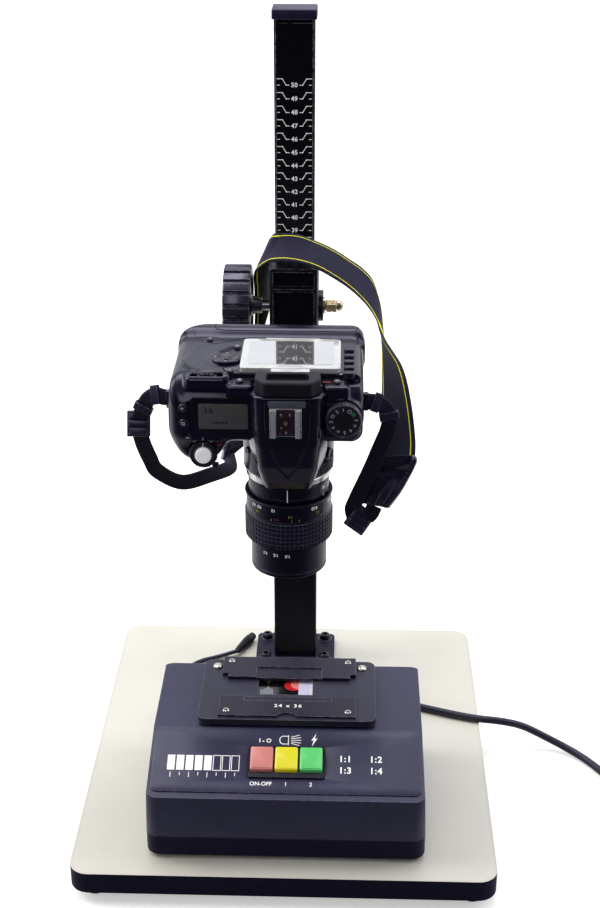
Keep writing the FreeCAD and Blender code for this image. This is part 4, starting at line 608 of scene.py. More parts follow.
def surface(field, low, high, step):
    """Points and quads of the surface where a field of places is 0."""
    low, high = np.asarray(low, float), np.asarray(high, float)
    counts = np.ceil((high - low) / step).astype(int) + 1
    axes = [low[i] + step * np.arange(counts[i]) for i in range(3)]
    values = np.empty(counts, np.float32)
    # a few layers at a time, to save memory
    for first in range(0, counts[0], 24):
        part = np.stack(np.meshgrid(axes[0][first:first + 24], axes[1], axes[2], indexing="ij"), -1)
        values[first:first + 24] = field(part)
    # one point per cell that the surface crosses, in the middle of its crossings of the cell's edges
    cells = tuple(counts - 1)
    total = np.zeros((*cells, 3), np.float32)
    hits = np.zeros(cells, np.float32)
    crossings = []
    for axis in range(3):
        a = np.take(values, range(counts[axis] - 1), axis)
        b = np.take(values, range(1, counts[axis]), axis)
        cross = (a < 0) != (b < 0)
        crossings.append((cross, a < 0))
        t = np.where(cross, a / np.where(cross, a - b, 1), 0)
        others = [i for i in range(3) if i != axis]
        for shift in ((0, 0), (0, 1), (1, 0), (1, 1)):
            window = [slice(0, cells[axis])] * 3
            for other, by in zip(others, shift):
                window[other] = slice(by, by + cells[other])
            here = cross[tuple(window)]
            hits += here
            total[..., axis] += np.where(here, t[tuple(window)], 0)
            for other, by in zip(others, shift):
                total[..., other] += here * by
    active = hits > 0
    index = np.full(cells, -1, np.int64)
    index[active] = np.arange(active.sum())
    place = np.stack(np.nonzero(active), -1)
    points = low + step * (place + total[active] / hits[active][:, None])
    # one quad per crossed edge, through the points of the four cells round it
    quads = []
    for axis, (cross, inward) in enumerate(crossings):
        b, c = (axis + 1) % 3, (axis + 2) % 3
        window = [slice(None)] * 3
        window[b] = slice(1, cells[b])
        window[c] = slice(1, cells[c])
        spots = np.stack(np.nonzero(cross[tuple(window)]), -1)
        spots[:, [b, c]] += 1
        corners = []
        for db, dc in ((-1, -1), (0, -1), (0, 0), (-1, 0)):
            cell = spots.copy()
            cell[:, b] += db
            cell[:, c] += dc
            corners.append(index[tuple(cell.T)])
        loops = np.stack(corners, -1)
        flip = ~inward[tuple(spots.T)]
        loops[flip] = loops[flip][:, ::-1]
        quads.append(loops[(loops >= 0).all(1)])
    return points, np.concatenate(quads)


def land(points, field, way, reach=12.0):
    """The points moved along a direction onto a field's surface; those that miss it are left out."""
    points = np.asarray(points, float)
    way = np.asarray(way, float) / np.linalg.norm(way)
    steps = np.linspace(-reach, reach, 97)
    inside = np.stack([field(points + s * way) for s in steps], -1) < 0
    first = inside.argmax(-1)
    hit = inside.any(-1) & (first > 0)
    low, high = steps[np.maximum(first - 1, 0)], steps[first]
    for _ in range(14):
        middle = (low + high) / 2
        within = field(points + middle[:, None] * way) < 0
        high = np.where(within, middle, high)
        low = np.where(within, low, middle)
    return (points + high[:, None] * way)[hit]


def curve_through(points, per=8, closed=False):
    """A smooth line through points."""
    points = np.asarray(points, float)
    count = len(points)
    out = []
    for i in range(count if closed else count - 1):
        near = [i + k for k in (-1, 0, 1, 2)]
        a, b, c, d = (points[k % count if closed else min(max(k, 0), count - 1)] for k in near)
        for t in np.arange(per) / per:
            out.append(0.5 * (2 * b + (c - a) * t + (2 * a - 5 * b + 4 * c - d) * t * t
                              + (3 * b - a - 3 * c + d) * t ** 3))
    if not closed:
        out.append(points[-1])
    return np.array(out)


# ---------------------------------------------------------------- light unit and stage

SLOPE = math.radians(23.46)
CREASE_Y, CREASE_Z = -93.0, 103.0
UNIT_X = 1.5
KEY_PITCH = 17.8
STAGE_TOP = 109.5
PANEL_THICK = 1.2
# x, y and how far the head stands over the stage
STAGE_SCREWS = [(-44.25, -20, 3.0), (45.25, -20, 3.0), (-44.25, -82.9, 1.6), (45.25, -82.9, 1.6)]
CABLE_X, SYNC_X, CABLE_Z = 25, -64, 37.8
PLUG_X, PLUG_Z = 348.5, 7
LAMINATE = rgb(209, 205, 192)

unit_skin = moulded("unit_plastic", rgb(44, 42, 74), rgb(37, 35, 64), (0.36, 0.48), 40, 0.9, 0.07, 1.0,
                    rgb(112, 110, 130), Specular_IOR_Level=0.56, Specular_Tint=(0.9, 0.89, 1.0, 1.0))
tray_skin = moulded("unit_tray_plastic", rgb(20, 16, 46), rgb(16, 13, 39), (0.36, 0.48), 40, 0.9, 0.06, 0.8,
                    rgb(60, 58, 80), Specular_IOR_Level=0.14)
# the paler edges of the stage and its rails are partly a painted highlight, where the edges catch the light,
# and partly worn by use
stage_paint = moulded("stage_enamel", rgb(50, 49, 64), rgb(42, 41, 55), (0.36, 0.5), 22, 0.6, 0.05, 0.6,
                      rgb(140, 140, 150))
rail_paint = moulded("rail_enamel", rgb(34, 33, 46), rgb(28, 27, 40), (0.3, 0.42), 16, 0.5, 0.035, 0.6,
                     rgb(150, 150, 160))
switch_black = moulded("switch_plastic", rgb(14, 13, 20), rgb(10, 10, 15), (0.22, 0.34), 10, 0.4, 0.01)
# white print with a painted glow
print_white = moulded("panel_print", rgb(244, 244, 240), rgb(232, 232, 228), (0.45, 0.6), 5, 0.3, 0.004,
                      Emission_Color=PAINTED_WHITE_GLOW, Emission_Strength=0.28)
screw_metal = brushed("screw_metal", rgb(206, 204, 198), (0.18, 0.3), None, 0.4, 0.004)
lead_skin = moulded("lead_plastic", rgb(38, 38, 50), rgb(31, 31, 42), (0.3, 0.42), 30, 0.5, 0.02)


def on_slope(x=0.0, down=0.0, rise=0.0):
    """A face on the sloping front, measured down from its upper edge."""
    c, s = math.cos(SLOPE), math.sin(SLOPE)
    return (x, CREASE_Y - down * c - rise * s, CREASE_Z - down * s + rise * c), (1, 0, 0), (0, c, s)


def make_panel():
    edge, hole = 0.9, (54.2, 25.2)

    def outer(inset):
        return rounded(193 - 2 * inset, 52 - 2 * inset, 5 - inset, (UNIT_X, -27.2), 6)

    def inner(extra):
        return rounded(hole[0] + 2 * extra, hole[1] + 2 * extra, 0.6 + extra, (UNIT_X, -28.8), 6)
    plate = Shape()
    plate.loft([(inner(0), 0.02), (outer(0), 0.02), (outer(0), PANEL_THICK - edge),
                (outer(edge * 0.3), PANEL_THICK - edge * 0.3), (outer(edge), PANEL_THICK),
                (inner(0.5), PANEL_THICK), (inner(0), PANEL_THICK - 0.4)], on_slope(), closed=True)
    plate.make("panel_plate", "stand", "panel_plastic", unit_skin, 40, ("control_panel",))


def lit_plastic(name, colour, deep):
    """Tinted clear plastic over a fine grid, which shows as small dots, with a painted glow of its own
    colour.
    """
    finish = Finish(name, Coat_Weight=0.4, Coat_Roughness=0.08, Roughness=0.3, Emission_Strength=0.16)
    x, y, z = finish.split()
    waves = [finish.maths("SINE", finish.times(axis, math.tau / (pitch * MM)))
             for axis, pitch in ((x, 1.25), (y, 1.15))]
    dots = finish.ramp(finish.times(*waves), -0.2, 0.6)
    # painted shade: darker towards the foot of the cap, where less light reaches it
    lit = finish.mix(dots, darker(colour, 0.72), colour)
    paint_in = finish.mix(finish.ramp(z, 0.0865, 0.0935), deep, lit)
    finish.link(Base_Color=paint_in, Emission_Color=paint_in, Normal=finish.bump(dots, 0.03))
    return finish.material


def make_buttons():
    # each cap's colour, and the painted shade of its foot
    colours = {"red": (rgb(232, 140, 132), rgb(120, 22, 24)), "yellow": (rgb(252, 240, 20), rgb(226, 176, 4)),
               "green": (rgb(98, 226, 120), rgb(10, 92, 34))}
    for index, (name, (colour, deep)) in enumerate(colours.items()):
        cap = Shape()
        face = on_slope(UNIT_X + (index - 1) * KEY_PITCH, 27.3)
        cap.slab(16.3, 18.7, 1.4, (0, 0), face, -5.9, 5.2, 1.0, 5)
        # the flat lit window stands in a slim frame
        cap.slab(13.9, 16.3, 0.6, (0, 0), face, 4.8, 5.6, 0.25, 3)
        # the framed front wall under the cap's upper edge
        cap.slab(15.2, 0.5, 0.2, (0, -9.35), face, -4.0, 2.6, 0.15, 3)
        plastic = lit_plastic("lit_" + name, colour, deep)
        cap.make("lit_cap_" + name, name + "_button", "cap_" + name, plastic, 40, ("button_" + name,))


def make_panel_print():
    marks = Shape()
    face = on_slope(rise=PANEL_THICK)
    marks.words("I - O", 4.6, on_slope(-14.4, 11.2, PANEL_THICK), bold=0.1)
    # a lamp that throws rays to the right
    turns = np.radians(np.linspace(90, 270, 11))
    lamp = [(-1.3 + 2.6 * math.cos(a), -10.4 + 3.2 * math.sin(a)) for a in turns]
    marks.stroke([(2.4, -7.2)] + lamp + [(2.4, -13.6)], 0.55, face)
    marks.stroke([(2.4, -6.6), (2.4, -14.2)], 0.55, face)
    for turn in (-34, -17, 0, 17, 34):
        c, s = math.cos(math.radians(turn)), math.sin(math.radians(turn))
        marks.stroke([(4.0 + 0.6 * c, -10.4 + 4.6 * s), (4.0 + 7.6 * c, -10.4 + 7.6 * s)], 0.45, face)
    bolt = [(22.6, -4.4), (18.9, -10.6), (20.8, -10.0), (19.5, -15.2), (23.4, -8.4), (21.3, -9.0)]
    marks.patch(bolt, face)
    for index, caption in enumerate(("ON-OFF", "1", "2")):
        marks.words(caption, 4.3, on_slope(UNIT_X + (index - 1) * KEY_PITCH, 46.0, PANEL_THICK), bold=0.08)
    for index in range(4):
        place = on_slope(39.0 + index % 2 * 22.0, 25.2 + index // 2 * 9.2, PANEL_THICK)
        marks.words(f"1:{index + 1}", 7.0, place, align="LEFT", spacing=1.1, bold=0.16)
    # a step wedge of plain patches under a line of ticks
    for index in range(8):
        left = -84 + index * 6.6
        patch = [(left, -36), (left + 5.4, -36), (left + 5.4, -24), (left, -24)]
        if index < 5:
            marks.patch(patch, face)
        else:
            marks.stroke(patch + patch[:1], 0.5, face)
        marks.stroke([(left + 2.7, -38), (left + 2.7, -40 if index % 2 else -41.5)], 0.5, face)
    marks.make("panel_marks", "stand", "panel_plastic", print_white)


def make_seam():
    """Dark joint between the two halves of the unit's case."""
    line = Shape()
    inside, outside, low, high = -0.4, 0.12, 44.75, 45.45
    line.loft([(rounded(201 + 2 * extra, 136 + 2 * extra, 9 + extra, (UNIT_X, -78), 8), height)
               for extra, height in ((inside, low), (outside, low), (outside, high), (inside, high))],
              top_at(), closed=True)
    line.make("case_joint", "stand", "unit_plastic", switch_black)


def make_stage_parts():
    screws, socket_shades, pins, size_mark, lines = (Shape() for _ in range(5))
    for x, y, rise in STAGE_SCREWS:
        top = STAGE_TOP + rise
        screws.lathe([(0, 106.9), (1.5, 106.9), (1.5, top), (2.45, top), (2.45, top + 0.3), (2.1, top + 0.7),
                      (1.25, top + 0.8), (1.15, top + 0.7), (0.95, top - 0.3), (0, top - 0.4)], (x, y, 0),
                     sides=32, wave=hexagon(7))
        # painted shade: a dark hexagon laid over the hollow of each screw head
        socket_shades.lathe([(0, top + 0.45), (1.0, top + 0.45), (1.0, top + 0.5), (0, top + 0.5)], (x, y, 0),
                    sides=6)
    screws.make("stage_screw_heads", "stand", "bright_steel", screw_metal, 40, ("stage_screws",))
    socket_shades.make("screw_socket_shades", "stand", "bright_steel", switch_black)
    for x in (-54.95, 55.95):
        pins.lathe([(0, 107.3), (1.8, 107.3), (1.8, 109.5), (3.6, 109.5), (3.7, 109.9), (3.3, 110.9),
                    (2.2, 111.5), (0, 111.7)], (x, -23.8, 0), sides=36)
        pins.block((x - 3.4, -24.15, 111.1), (x + 3.4, -23.45, 111.55), 0.1)
    pin_metal = brushed("pin_metal", rgb(232, 226, 210), (0.15, 0.28), None, 0.5, 0.004)
    pins.make("stage_pin_heads", "stand", "bright_steel", pin_metal, 40, ("stage_pins",))
    size_mark.words("24 x 36", 5.4, top_at(1.0, -76.4, 111.12), spacing=1.25, bold=0.06)
    size_mark.make("frame_size_mark", "stand", "stage_metal", print_white)
    # engraved lines that frame the window on the front rail
    lines.stroke([(-26.4, -64.4), (-26.4, -69.6), (28.0, -69.6), (28.0, -64.4)], 0.35, top_at(z=111.1), 0.05)
    engraved = moulded("engraved_line", rgb(78, 77, 90), rough=(0.4, 0.5))
    lines.make("frame_lines", "stand", "stage_metal", engraved)


def make_film():
    """A strip of slides: clear and dyed shapes on black film; colours by place across the window."""
    finish = Finish("film_base", Roughness=0.12, Coat_Weight=0.5, Coat_Roughness=0.05)
    x, y, _ = finish.split()

    def disc(cx, cy, radius):
        away = [finish.maths("SUBTRACT", axis, middle * MM) for axis, middle in ((x, cx), (y, cy))]
        square = finish.maths("ADD", *(finish.times(way, way) for way in away))
        return finish.ramp(finish.maths("SQRT", square), (radius + 0.15) * MM, (radius - 0.15) * MM)

    def beyond(axis, at):
        return finish.ramp(axis, (at - 0.1) * MM, (at + 0.1) * MM)
    base, black = rgb(9, 8, 14), rgb(8, 7, 12)
    paint_in = base
    for part, colour in ((beyond(x, -21), rgb(112, 112, 118)), (beyond(x, -11), black),
                         (disc(-21.5, -44, 6.6), black), (disc(-8.4, -44, 6.6), black),
                         (disc(4.2, -44.5, 7), rgb(196, 34, 40)), (disc(8.4, -43, 6.4), rgb(232, 126, 122)),
                         (beyond(x, 8), rgb(206, 204, 226)), (beyond(x, 16.4), rgb(235, 234, 242)),
                         (beyond(y, -32.9), base)):
        paint_in = finish.mix(part, paint_in, colour)
    finish.link(Base_Color=paint_in)
    paint(finish.material, "film_strip")


def make_gland():
    glands = Shape()
    ribs = [(0, -16.6), (4.2, -16.6), (6.9, -16.4), (6.9, -11), (4.3, -11), (4.3, -10), (6.7, -9.9),
            (6.9, -9.4), (6.5, -8.2), (5.0, -7.8)]
    for step in range(6):
        y, r = -7.4 + step * 2.9, 4.9 - 0.25 * step
        ribs += [(r, y), (r, y + 1.7), (r - 0.7, y + 1.9), (r - 0.7, y + 2.6)]
    glands.lathe(ribs + [(3.3, 12.0), (0, 12.0)], (CABLE_X, 0, CABLE_Z), (0, 1, 0), 40)
    glands.lathe([(0, -16.6), (2.6, -16.6), (4.8, -16.4), (4.8, -12), (3, -12), (3, -10), (4.6, -9.9),
                  (4.8, -9.2), (4.4, -8), (3.2, -7.6), (3.0, -4), (2.6, -3.6), (2.6, 0), (2.3, 0.2),
                  (2.2, 4.0), (0, 4.0)],
                 (SYNC_X, 0, CABLE_Z), (0, 1, 0), 32)
    glands.make("cord_glands", "stand", "lead_plastic", lead_skin, 35, ("cord_gland",))


def make_plugs():
    plug, pins, sync = Shape(), Shape(), Shape()
    # how wide and tall the body is, from its lead to its pins, which point to +Y
    sections = ((8, 8, 20), (9.5, 9, 24), (15, 11.5, 31), (26, 13.2, 39), (33.5, 13.8, 46), (34.6, 13.9, 50),
                (34.6, 13.9, 54.6), (33.6, 13.2, 55.4))
    plug.loft([(rounded(wide, tall, tall * 0.42, (0, 0), 5), -at) for wide, tall, at in sections],
              front_at(PLUG_X, 0, PLUG_Z))
    for step in range(3):
        plug.slab(20, 1.0, 0.45, (PLUG_X, 33 + 3.4 * step), top_at(), 11.6 + step * 0.5, 13.2 + step * 0.25,
                  0.3)
    body = plug.make("plug_body", "stand", "plug_plastic", lead_skin, 40, ("mains_plug",))
    for side in (-1, 1):
        pins.lathe([(0, 54.8), (2.2, 54.8), (2.2, 64.5), (1.95, 64.6), (1.95, 73.4), (1.4, 74.7), (0, 75.0)],
                   (PLUG_X + side * 9.4, 0, PLUG_Z), (0, 1, 0), 24)
    brass = brushed("pin_brass", rgb(206, 190, 150), (0.2, 0.32))
    pins = pins.make("plug_pins", "stand", "bright_steel", brass, 40)
    profile = [(0, -0.5), (2.0, -0.5), (2.3, 0)]
    for step in range(7):
        at, r = 0.4 + step * 2.5, 2.6 + 0.2 * step
        valley = max(r - 1.1, 1.95)
        profile += [(r, at), (r + 0.35, at + 0.4), (r + 0.3, at + 1.2), (valley, at + 1.5),
                    (valley, at + 2.2)]
    profile += [(4.1, 18.2), (4.1, 21.6), (3.7, 22.0), (3.5, 22.0), (3.5, 26.4), (3.3, 27.0), (0, 27.0)]
    sync.lathe(profile, SYNC_ROUTE[-1], Vector((10, 20, 0.4)).normalized(), 40)
    rubber = moulded("sync_rubber", rgb(20, 20, 26), rgb(15, 15, 20), (0.4, 0.55), 8, 0.5, 0.03, 0.4,
                     rgb(90, 90, 100))
    connector = sync.make("sync_connector", "stand", "plug_plastic", rubber, 25, ("sync_plug",))


def make_edging():
    """Dark edge strip of the board; the laminate laps over its flat top."""
    finish = Finish("edge_plastic", Specular_IOR_Level=0.15, Specular_Tint=SHEEN_TINT)
    dark = finish.mix(finish.patches(30.0, 4.0, 0.6), rgb(14, 11, 41), rgb(11, 9, 33))
    # the paler edges are partly worn by use and partly a painted highlight
    dark = finish.mix(finish.rubbed(0.7), dark, rgb(84, 80, 100))
    upward = finish.ramp(finish.split(finish.add("NewGeometry").outputs["Normal"])[2], 0.93, 0.98)
    finish.link(Base_Color=finish.mix(upward, dark, LAMINATE),
                Normal=finish.bump(finish.noise(0.8, 2.0), 0.04),
                Roughness=finish.patches(10.0, 5.0, 0.7, 0.34, 0.48))
    return finish.material


def paint_unit():
    paint(moulded("board_laminate", LAMINATE, rgb(216, 213, 202), (0.34, 0.48), 70, 1.0, 0.015), "baseboard")
    paint(make_edging(), "edge_band")
    paint(moulded("foot_rubber", rgb(30, 30, 33), rgb(24, 24, 27), (0.7, 0.85), 8, 0.6, 0.05), "rubber_feet")
    paint(unit_skin, "upper_shell")
    paint(tray_skin, "lower_shell")
    paint(switch_black, "switch_block")
    paint(stage_paint, "stage_plate")
    paint(rail_paint, "rear_rail", "front_rail", "film_clamp")
    paint(moulded("well_white", rgb(228, 228, 224), rough=(0.5, 0.6)), "light_well")
    opal = Finish("opal_plastic", Roughness=0.35, Subsurface_Weight=0.4)
    opal.link(Base_Color=opal.mix(opal.noise(12), rgb(236, 236, 232), rgb(226, 226, 222)))
    paint(opal.material, "diffuser")
    paint(brushed("copper_winding", rgb(176, 96, 52), (0.25, 0.4), (14, 1, 1), 0.4, 0.03), "transformer")
    glass = Finish("lamp_glass", Roughness=0.05, Transmission_Weight=0.9, IOR=1.46)
    glass.link(Base_Color=glass.mix(glass.noise(8), rgb(236, 240, 242), rgb(226, 232, 236)))
    paint(glass.material, "flash_tube", "focus_lamp")
    paint(moulded("circuit_board", rgb(28, 84, 52), rgb(22, 70, 44), (0.3, 0.45), 6, 0.5, 0.02),
          "flash_circuit")
    for lead in (mains_lead, sync_lead):
        lead.data.materials.append(lead_skin)


make_panel()
make_buttons()
make_panel_print()
make_seam()
make_stage_parts()
make_film()
make_gland()
make_plugs()
paint_unit()


# ---------------------------------------------------------------- column, carriage and drive

AXLE_Y, AXLE_Z = 104.5, 358.4
AXLE = (0, AXLE_Y, AXLE_Z)
SCALE_TOP, SCALE_TOP_Z, SCALE_LOW = 50, 526.0, 16
SCALE_FACE_Y = 112.48
KNOB_RADIUS, KNOB_FLUTES, POINTS_PER_FLUTE = 31.5, 20, 10

# the paler corners of the column are partly a painted highlight, where the rounded corners catch the light,
# and partly worn by use
column_black = moulded("column_enamel", rgb(7, 6, 14), rgb(5, 4, 10), (0.16, 0.28), 60, 0.7, 0.02, 1.2,
                       rgb(150, 136, 138), Specular_IOR_Level=0.08)
scale_black = moulded("scale_film", rgb(9, 9, 12), rgb(7, 7, 9), (0.2, 0.3), 24, 0.5, 0.006)
# the paler edges of the housing and the arm are partly a painted highlight and partly worn by use
cast_black = moulded("housing_enamel", rgb(22, 22, 27), rgb(15, 15, 19), (0.28, 0.42), 24, 0.8, 0.05, 1.4,
                     rgb(150, 150, 158))
# the foot is navy, its sleeve black like the column
base_black = moulded("base_enamel", rgb(35, 33, 52), rgb(28, 26, 43), (0.34, 0.46), 20, 0.9, 0.06, 0.8,
                     rgb(104, 102, 118), above=(34.0, rgb(7, 6, 14)), Specular_IOR_Level=0.16)
bolt_black = moulded("bolt_steel", rgb(22, 21, 28), rgb(15, 15, 20), (0.24, 0.36), 6, 0.4, 0.02, 0.6,
                     rgb(150, 148, 150))
cap_skin = moulded("cap_plastic", rgb(33, 29, 62), rgb(24, 21, 48), (0.36, 0.5), 6, 0.7, 0.09, 0.9,
                   rgb(130, 130, 138))
# painted light: the knob's colour is made paler to stand in for its lit ridges, and its near-white edges are
# partly a painted highlight and partly worn by use
knob_skin = moulded("knob_plastic", rgb(46, 45, 58), rgb(40, 39, 51), (0.22, 0.3), 12, 0.5, 0.015, 0.4,
                    rgb(196, 196, 206), Specular_IOR_Level=0.8)
stud_metal = brushed("stud_brass", rgb(206, 190, 158), (0.24, 0.38), (12, 1, 1), 0.4, 0.01)
shaft_metal = brushed("shaft_steel", rgb(150, 150, 156), (0.2, 0.32), (12, 1, 1), 0.3, 0.006)


def make_scale():
    marks = Shape()
    for number in range(SCALE_LOW, SCALE_TOP + 1):
        face = front_at(0, SCALE_FACE_Y, SCALE_TOP_Z - 10 * (SCALE_TOP - number))
        for side in (-1, 1):
            marks.stroke([(side * 12.7, 4.6), (side * 8.9, 4.6), (side * 6.1, 0), (side * 3.9, 0)], 0.5, face)
            marks.stroke([(side * 12.5, 0), (side * 10.9, 0)], 0.45, face)
        marks.words(str(number), 4.7, face, bold=0.11, spacing=1.05)
    marks.make("scale_marks", "stand", "scale_film", print_white)


def make_cap():
    cap = Shape()
    cap.slab(33, 26, 1.5, (0, 124), top_at(), 573.0, 580.0, 0.9, 5)
    cap.block((-12.4, 114.6, 558.2), (12.4, 133.4, 573.4), 0.6)
    cap.make("column_lid", "stand", "cap_plastic", cap_skin, 35, ("column_cap",))


def make_bolts():
    bolts = Shape()
    for x in (-25.4, 25.4):
        for y in (108.2, 139.85):
            bolts.lathe([(0, 12.2), (2.9, 12.2), (2.9, 31.9), (4.75, 31.9), (4.75, 33.6), (4.5, 35.2),
                         (3.7, 36.5), (2.6, 36.95), (2.35, 36.7), (2.3, 34.4), (0, 34.3)], (x, y, 0),
                        wave=hexagon(8))
            bolts.lathe([(0, 31.6), (6.4, 31.6), (6.4, 32.2), (6.1, 32.5), (0, 32.5)], (x, y, 0), sides=40)
    bolts.make("base_screws", "stand", "black_steel", bolt_black, 40, ("base_bolts",))


def knob_outline(inset):
    """The knob's edge, with a notch between each two of its flutes."""
    count = KNOB_FLUTES * POINTS_PER_FLUTE
    radii = [KNOB_RADIUS - (2.0 if k % POINTS_PER_FLUTE in (0, 1, 9) else 0.0) - inset for k in range(count)]
    return [polar((0, 0), radius, math.tau * k / count) for k, radius in enumerate(radii)]


def make_knob():
    knob = Shape()
    # heights run from the side by the housing outwards, towards -X
    hub = [(4.1, 12.0), (4.1, 0.6), (9.0, 0.0), (9.2, 1.6), (25.0, 1.6), (25.6, 0.0)]
    rim = [(1.6, 0.0), (0.5, 0.35), (0.0, 1.3), (0.0, 19.4), (0.5, 20.4), (1.7, 20.8)]
    dish = [(26.4, 20.8), (25.8, 20.4), (24.6, 17.4), (23.8, 17.0), (11.4, 17.0), (11.0, 17.4), (10.8, 19.4),
            (10.2, 19.9), (3.0, 19.9)]
    count = KNOB_FLUTES * POINTS_PER_FLUTE
    knob.loft([(circle(radius, count), height) for radius, height in hub]
              + [(knob_outline(inset), height) for inset, height in rim]
              + [(circle(radius, count), height) for radius, height in dish],
              ((-33.1, AXLE_Y, AXLE_Z), (0, -1, 0), (0, 0, 1)))
    knob.make("focus_knob", "drive", "knob_plastic", knob_skin, 32, ("drive_knob",))


def make_stud():
    stud, boss = Shape(), Shape()
    profile = [(0, 8.3), (3.45, 8.3), (3.45, 22.55), (6.5, 22.55), (6.5, 23.6), (3.6, 23.8)]
    for low, high in ((25.0, 29.0), (29.6, 32.8)):
        profile += [(4.5, low), (4.9, low + 0.35), (4.9, high - 0.35), (4.5, high)]
    profile += [(3.3, 33.0), (3.3, 33.4), (4.1, 33.7), (4.1, 35.2), (3.5, 36.6), (2.2, 37.6), (0, 38.0)]
    stud.lathe(profile, AXLE, (1, 0, 0), 96,
               lambda angle, index: 1.0 + (0.04 * math.cos(18 * angle) if 6 <= index <= 13 else 0))
    stud.make("tension_screw", "tension", "stud_brass", stud_metal, 40, ("tension_stud",))
    boss.lathe([(0, 22.3), (9.6, 22.3), (9.6, 22.42), (9.0, 22.52), (7.2, 22.52), (0, 22.52)], AXLE,
               (1, 0, 0))
    boss.make("boss_face", "carriage", "housing_metal", cast_black)


def make_camera_bolt():
    bolt = Shape()
    bolt.lathe([(0, 6.1), (3.1, 6.1), (3.1, 18.1), (10.2, 18.1), (10.6, 18.3), (11.0, 18.9), (11.0, 25.0),
                (10.4, 25.8), (8.2, 26.1), (7.8, 25.6), (6.0, 25.5), (5.4, 26.6), (4.0, 27.2), (0, 27.3)],
               (1.2, 0, 354.5), (0, 1, 0), 120, knurled(0.03, 30, (5, 6)))
    bolt.make("camera_bolt", "camera_screw", "black_steel", bolt_black, 40, ("camera_screw",))


make_scale()
make_cap()
make_bolts()
make_knob()
make_stud()
make_camera_bolt()
paint(column_black, "column")
paint(scale_black, "scale_strip")
paint(base_black, "column_base")
paint(cast_black, "carriage_housing", "camera_arm")
paint(shaft_metal, "drive_shaft")
paint(moulded("roller_rubber", rgb(30, 30, 32), rough=(0.6, 0.75)), "friction_roller")


# ---------------------------------------------------------------- camera

LENS = (1.2, -48.0)
LENS_AXIS = (*LENS, 0)
TOP = -88.0
BACK = 375.0
GRIP_TOP = -84.0
EYE_DROP = 7.0
RELEASE = (-54.8, GRIP_TOP, 321)
RELEASE_XZ = (-54.8, 321)
DIAL = (39.2, TOP, 350)
DIAL_XZ = (39.2, 350)
SELECTOR = (-40.8, -52)
WHEEL = (-51.8, -78, 367.6)
SHOE_Y, SHOE_Z = -98.5, 351
# a line drawn here, over the back or beside the case, is let down onto it
OVER_BACK, BESIDE = 384, 65
# the camera looks straight down, so its top faces the user
UP = (0, -1, 0)

camera_plastic = moulded("camera_body_plastic", rgb(13, 10, 32), rgb(9, 7, 24), (0.15, 0.25), 22, 0.45, 0.028,
                         0.7, rgb(88, 86, 104), Specular_IOR_Level=0.5)
panel_dark = moulded("prism_panel_gloss", rgb(11, 10, 17), rgb(8, 8, 13), (0.16, 0.26), 20, 0.5, 0.01,
                     Specular_IOR_Level=0.5)
panel_black = moulded("camera_panel_gloss", rgb(17, 16, 22), rgb(13, 12, 17), (0.12, 0.22), 20, 0.6, 0.008)
key_black = moulded("camera_keys", rgb(34, 33, 42), rgb(26, 25, 33), (0.26, 0.36), 8, 0.4, 0.02, 0.35,
                    rgb(140, 140, 148), Specular_IOR_Level=0.65)
soft_rubber = moulded("camera_soft_rubber", rgb(24, 24, 28), rgb(19, 19, 23), (0.55, 0.7), 12, 0.5, 0.05)
seam_dark = moulded("seam_shadow", rgb(12, 12, 16), rough=(0.7, 0.8))
white_print = moulded("white_print", rgb(226, 226, 224), rgb(212, 212, 212), (0.5, 0.65), 6, 0.3, 0.004)
red_print = moulded("red_print", rgb(170, 60, 66), rgb(150, 50, 58), (0.5, 0.65), 6, 0.3, 0.004)
green_print = moulded("green_print", rgb(60, 150, 84), rgb(50, 134, 74), (0.5, 0.65), 6, 0.3, 0.004)
steel = brushed("pressed_steel", rgb(236, 236, 240), (0.2, 0.34), (1, 1, 14), metallic=0.45)
# the pale release cap has a painted glow that stands in for the light it reflects
release_pearl = moulded("release_pearl", rgb(250, 250, 246), rgb(240, 240, 238), (0.16, 0.26), 8, 0.3, 0.004,
                        Emission_Color=PAINTED_WHITE_GLOW, Emission_Strength=0.3)


def plan_of_case(x, y):
    """The case seen from behind, with a wide corner at the grip's foot."""
    across, along = x + 12.4, y + 38.0
    corner = np.where(across < 0, np.where(along > 0, 21.0, 11.0), 8.5)
    qx, qy = np.abs(across) - 64.6 + corner, np.abs(along) - 49.8 + corner
    return np.hypot(np.maximum(qx, 0), np.maximum(qy, 0)) + np.minimum(np.maximum(qx, qy), 0) - corner


def pushed(plan, z, low, high, corner):
    """The solid that a plan makes from low to high."""
    up = np.abs(z - (low + high) / 2) - ((high - low) / 2 - corner)
    return soft_corner(np.stack([plan + corner, up], -1), corner)


THUMB_REST = [(-71, -52), (-66, -36), (-59, -27), (-50, -22.5), (-43, -22), (-37, -26), (-46, -38),
              (-50, -50), (-45, -62), (-38, -72), (-37, -80), (-44, -79), (-54, -75), (-64, -67), (-69, -60)]


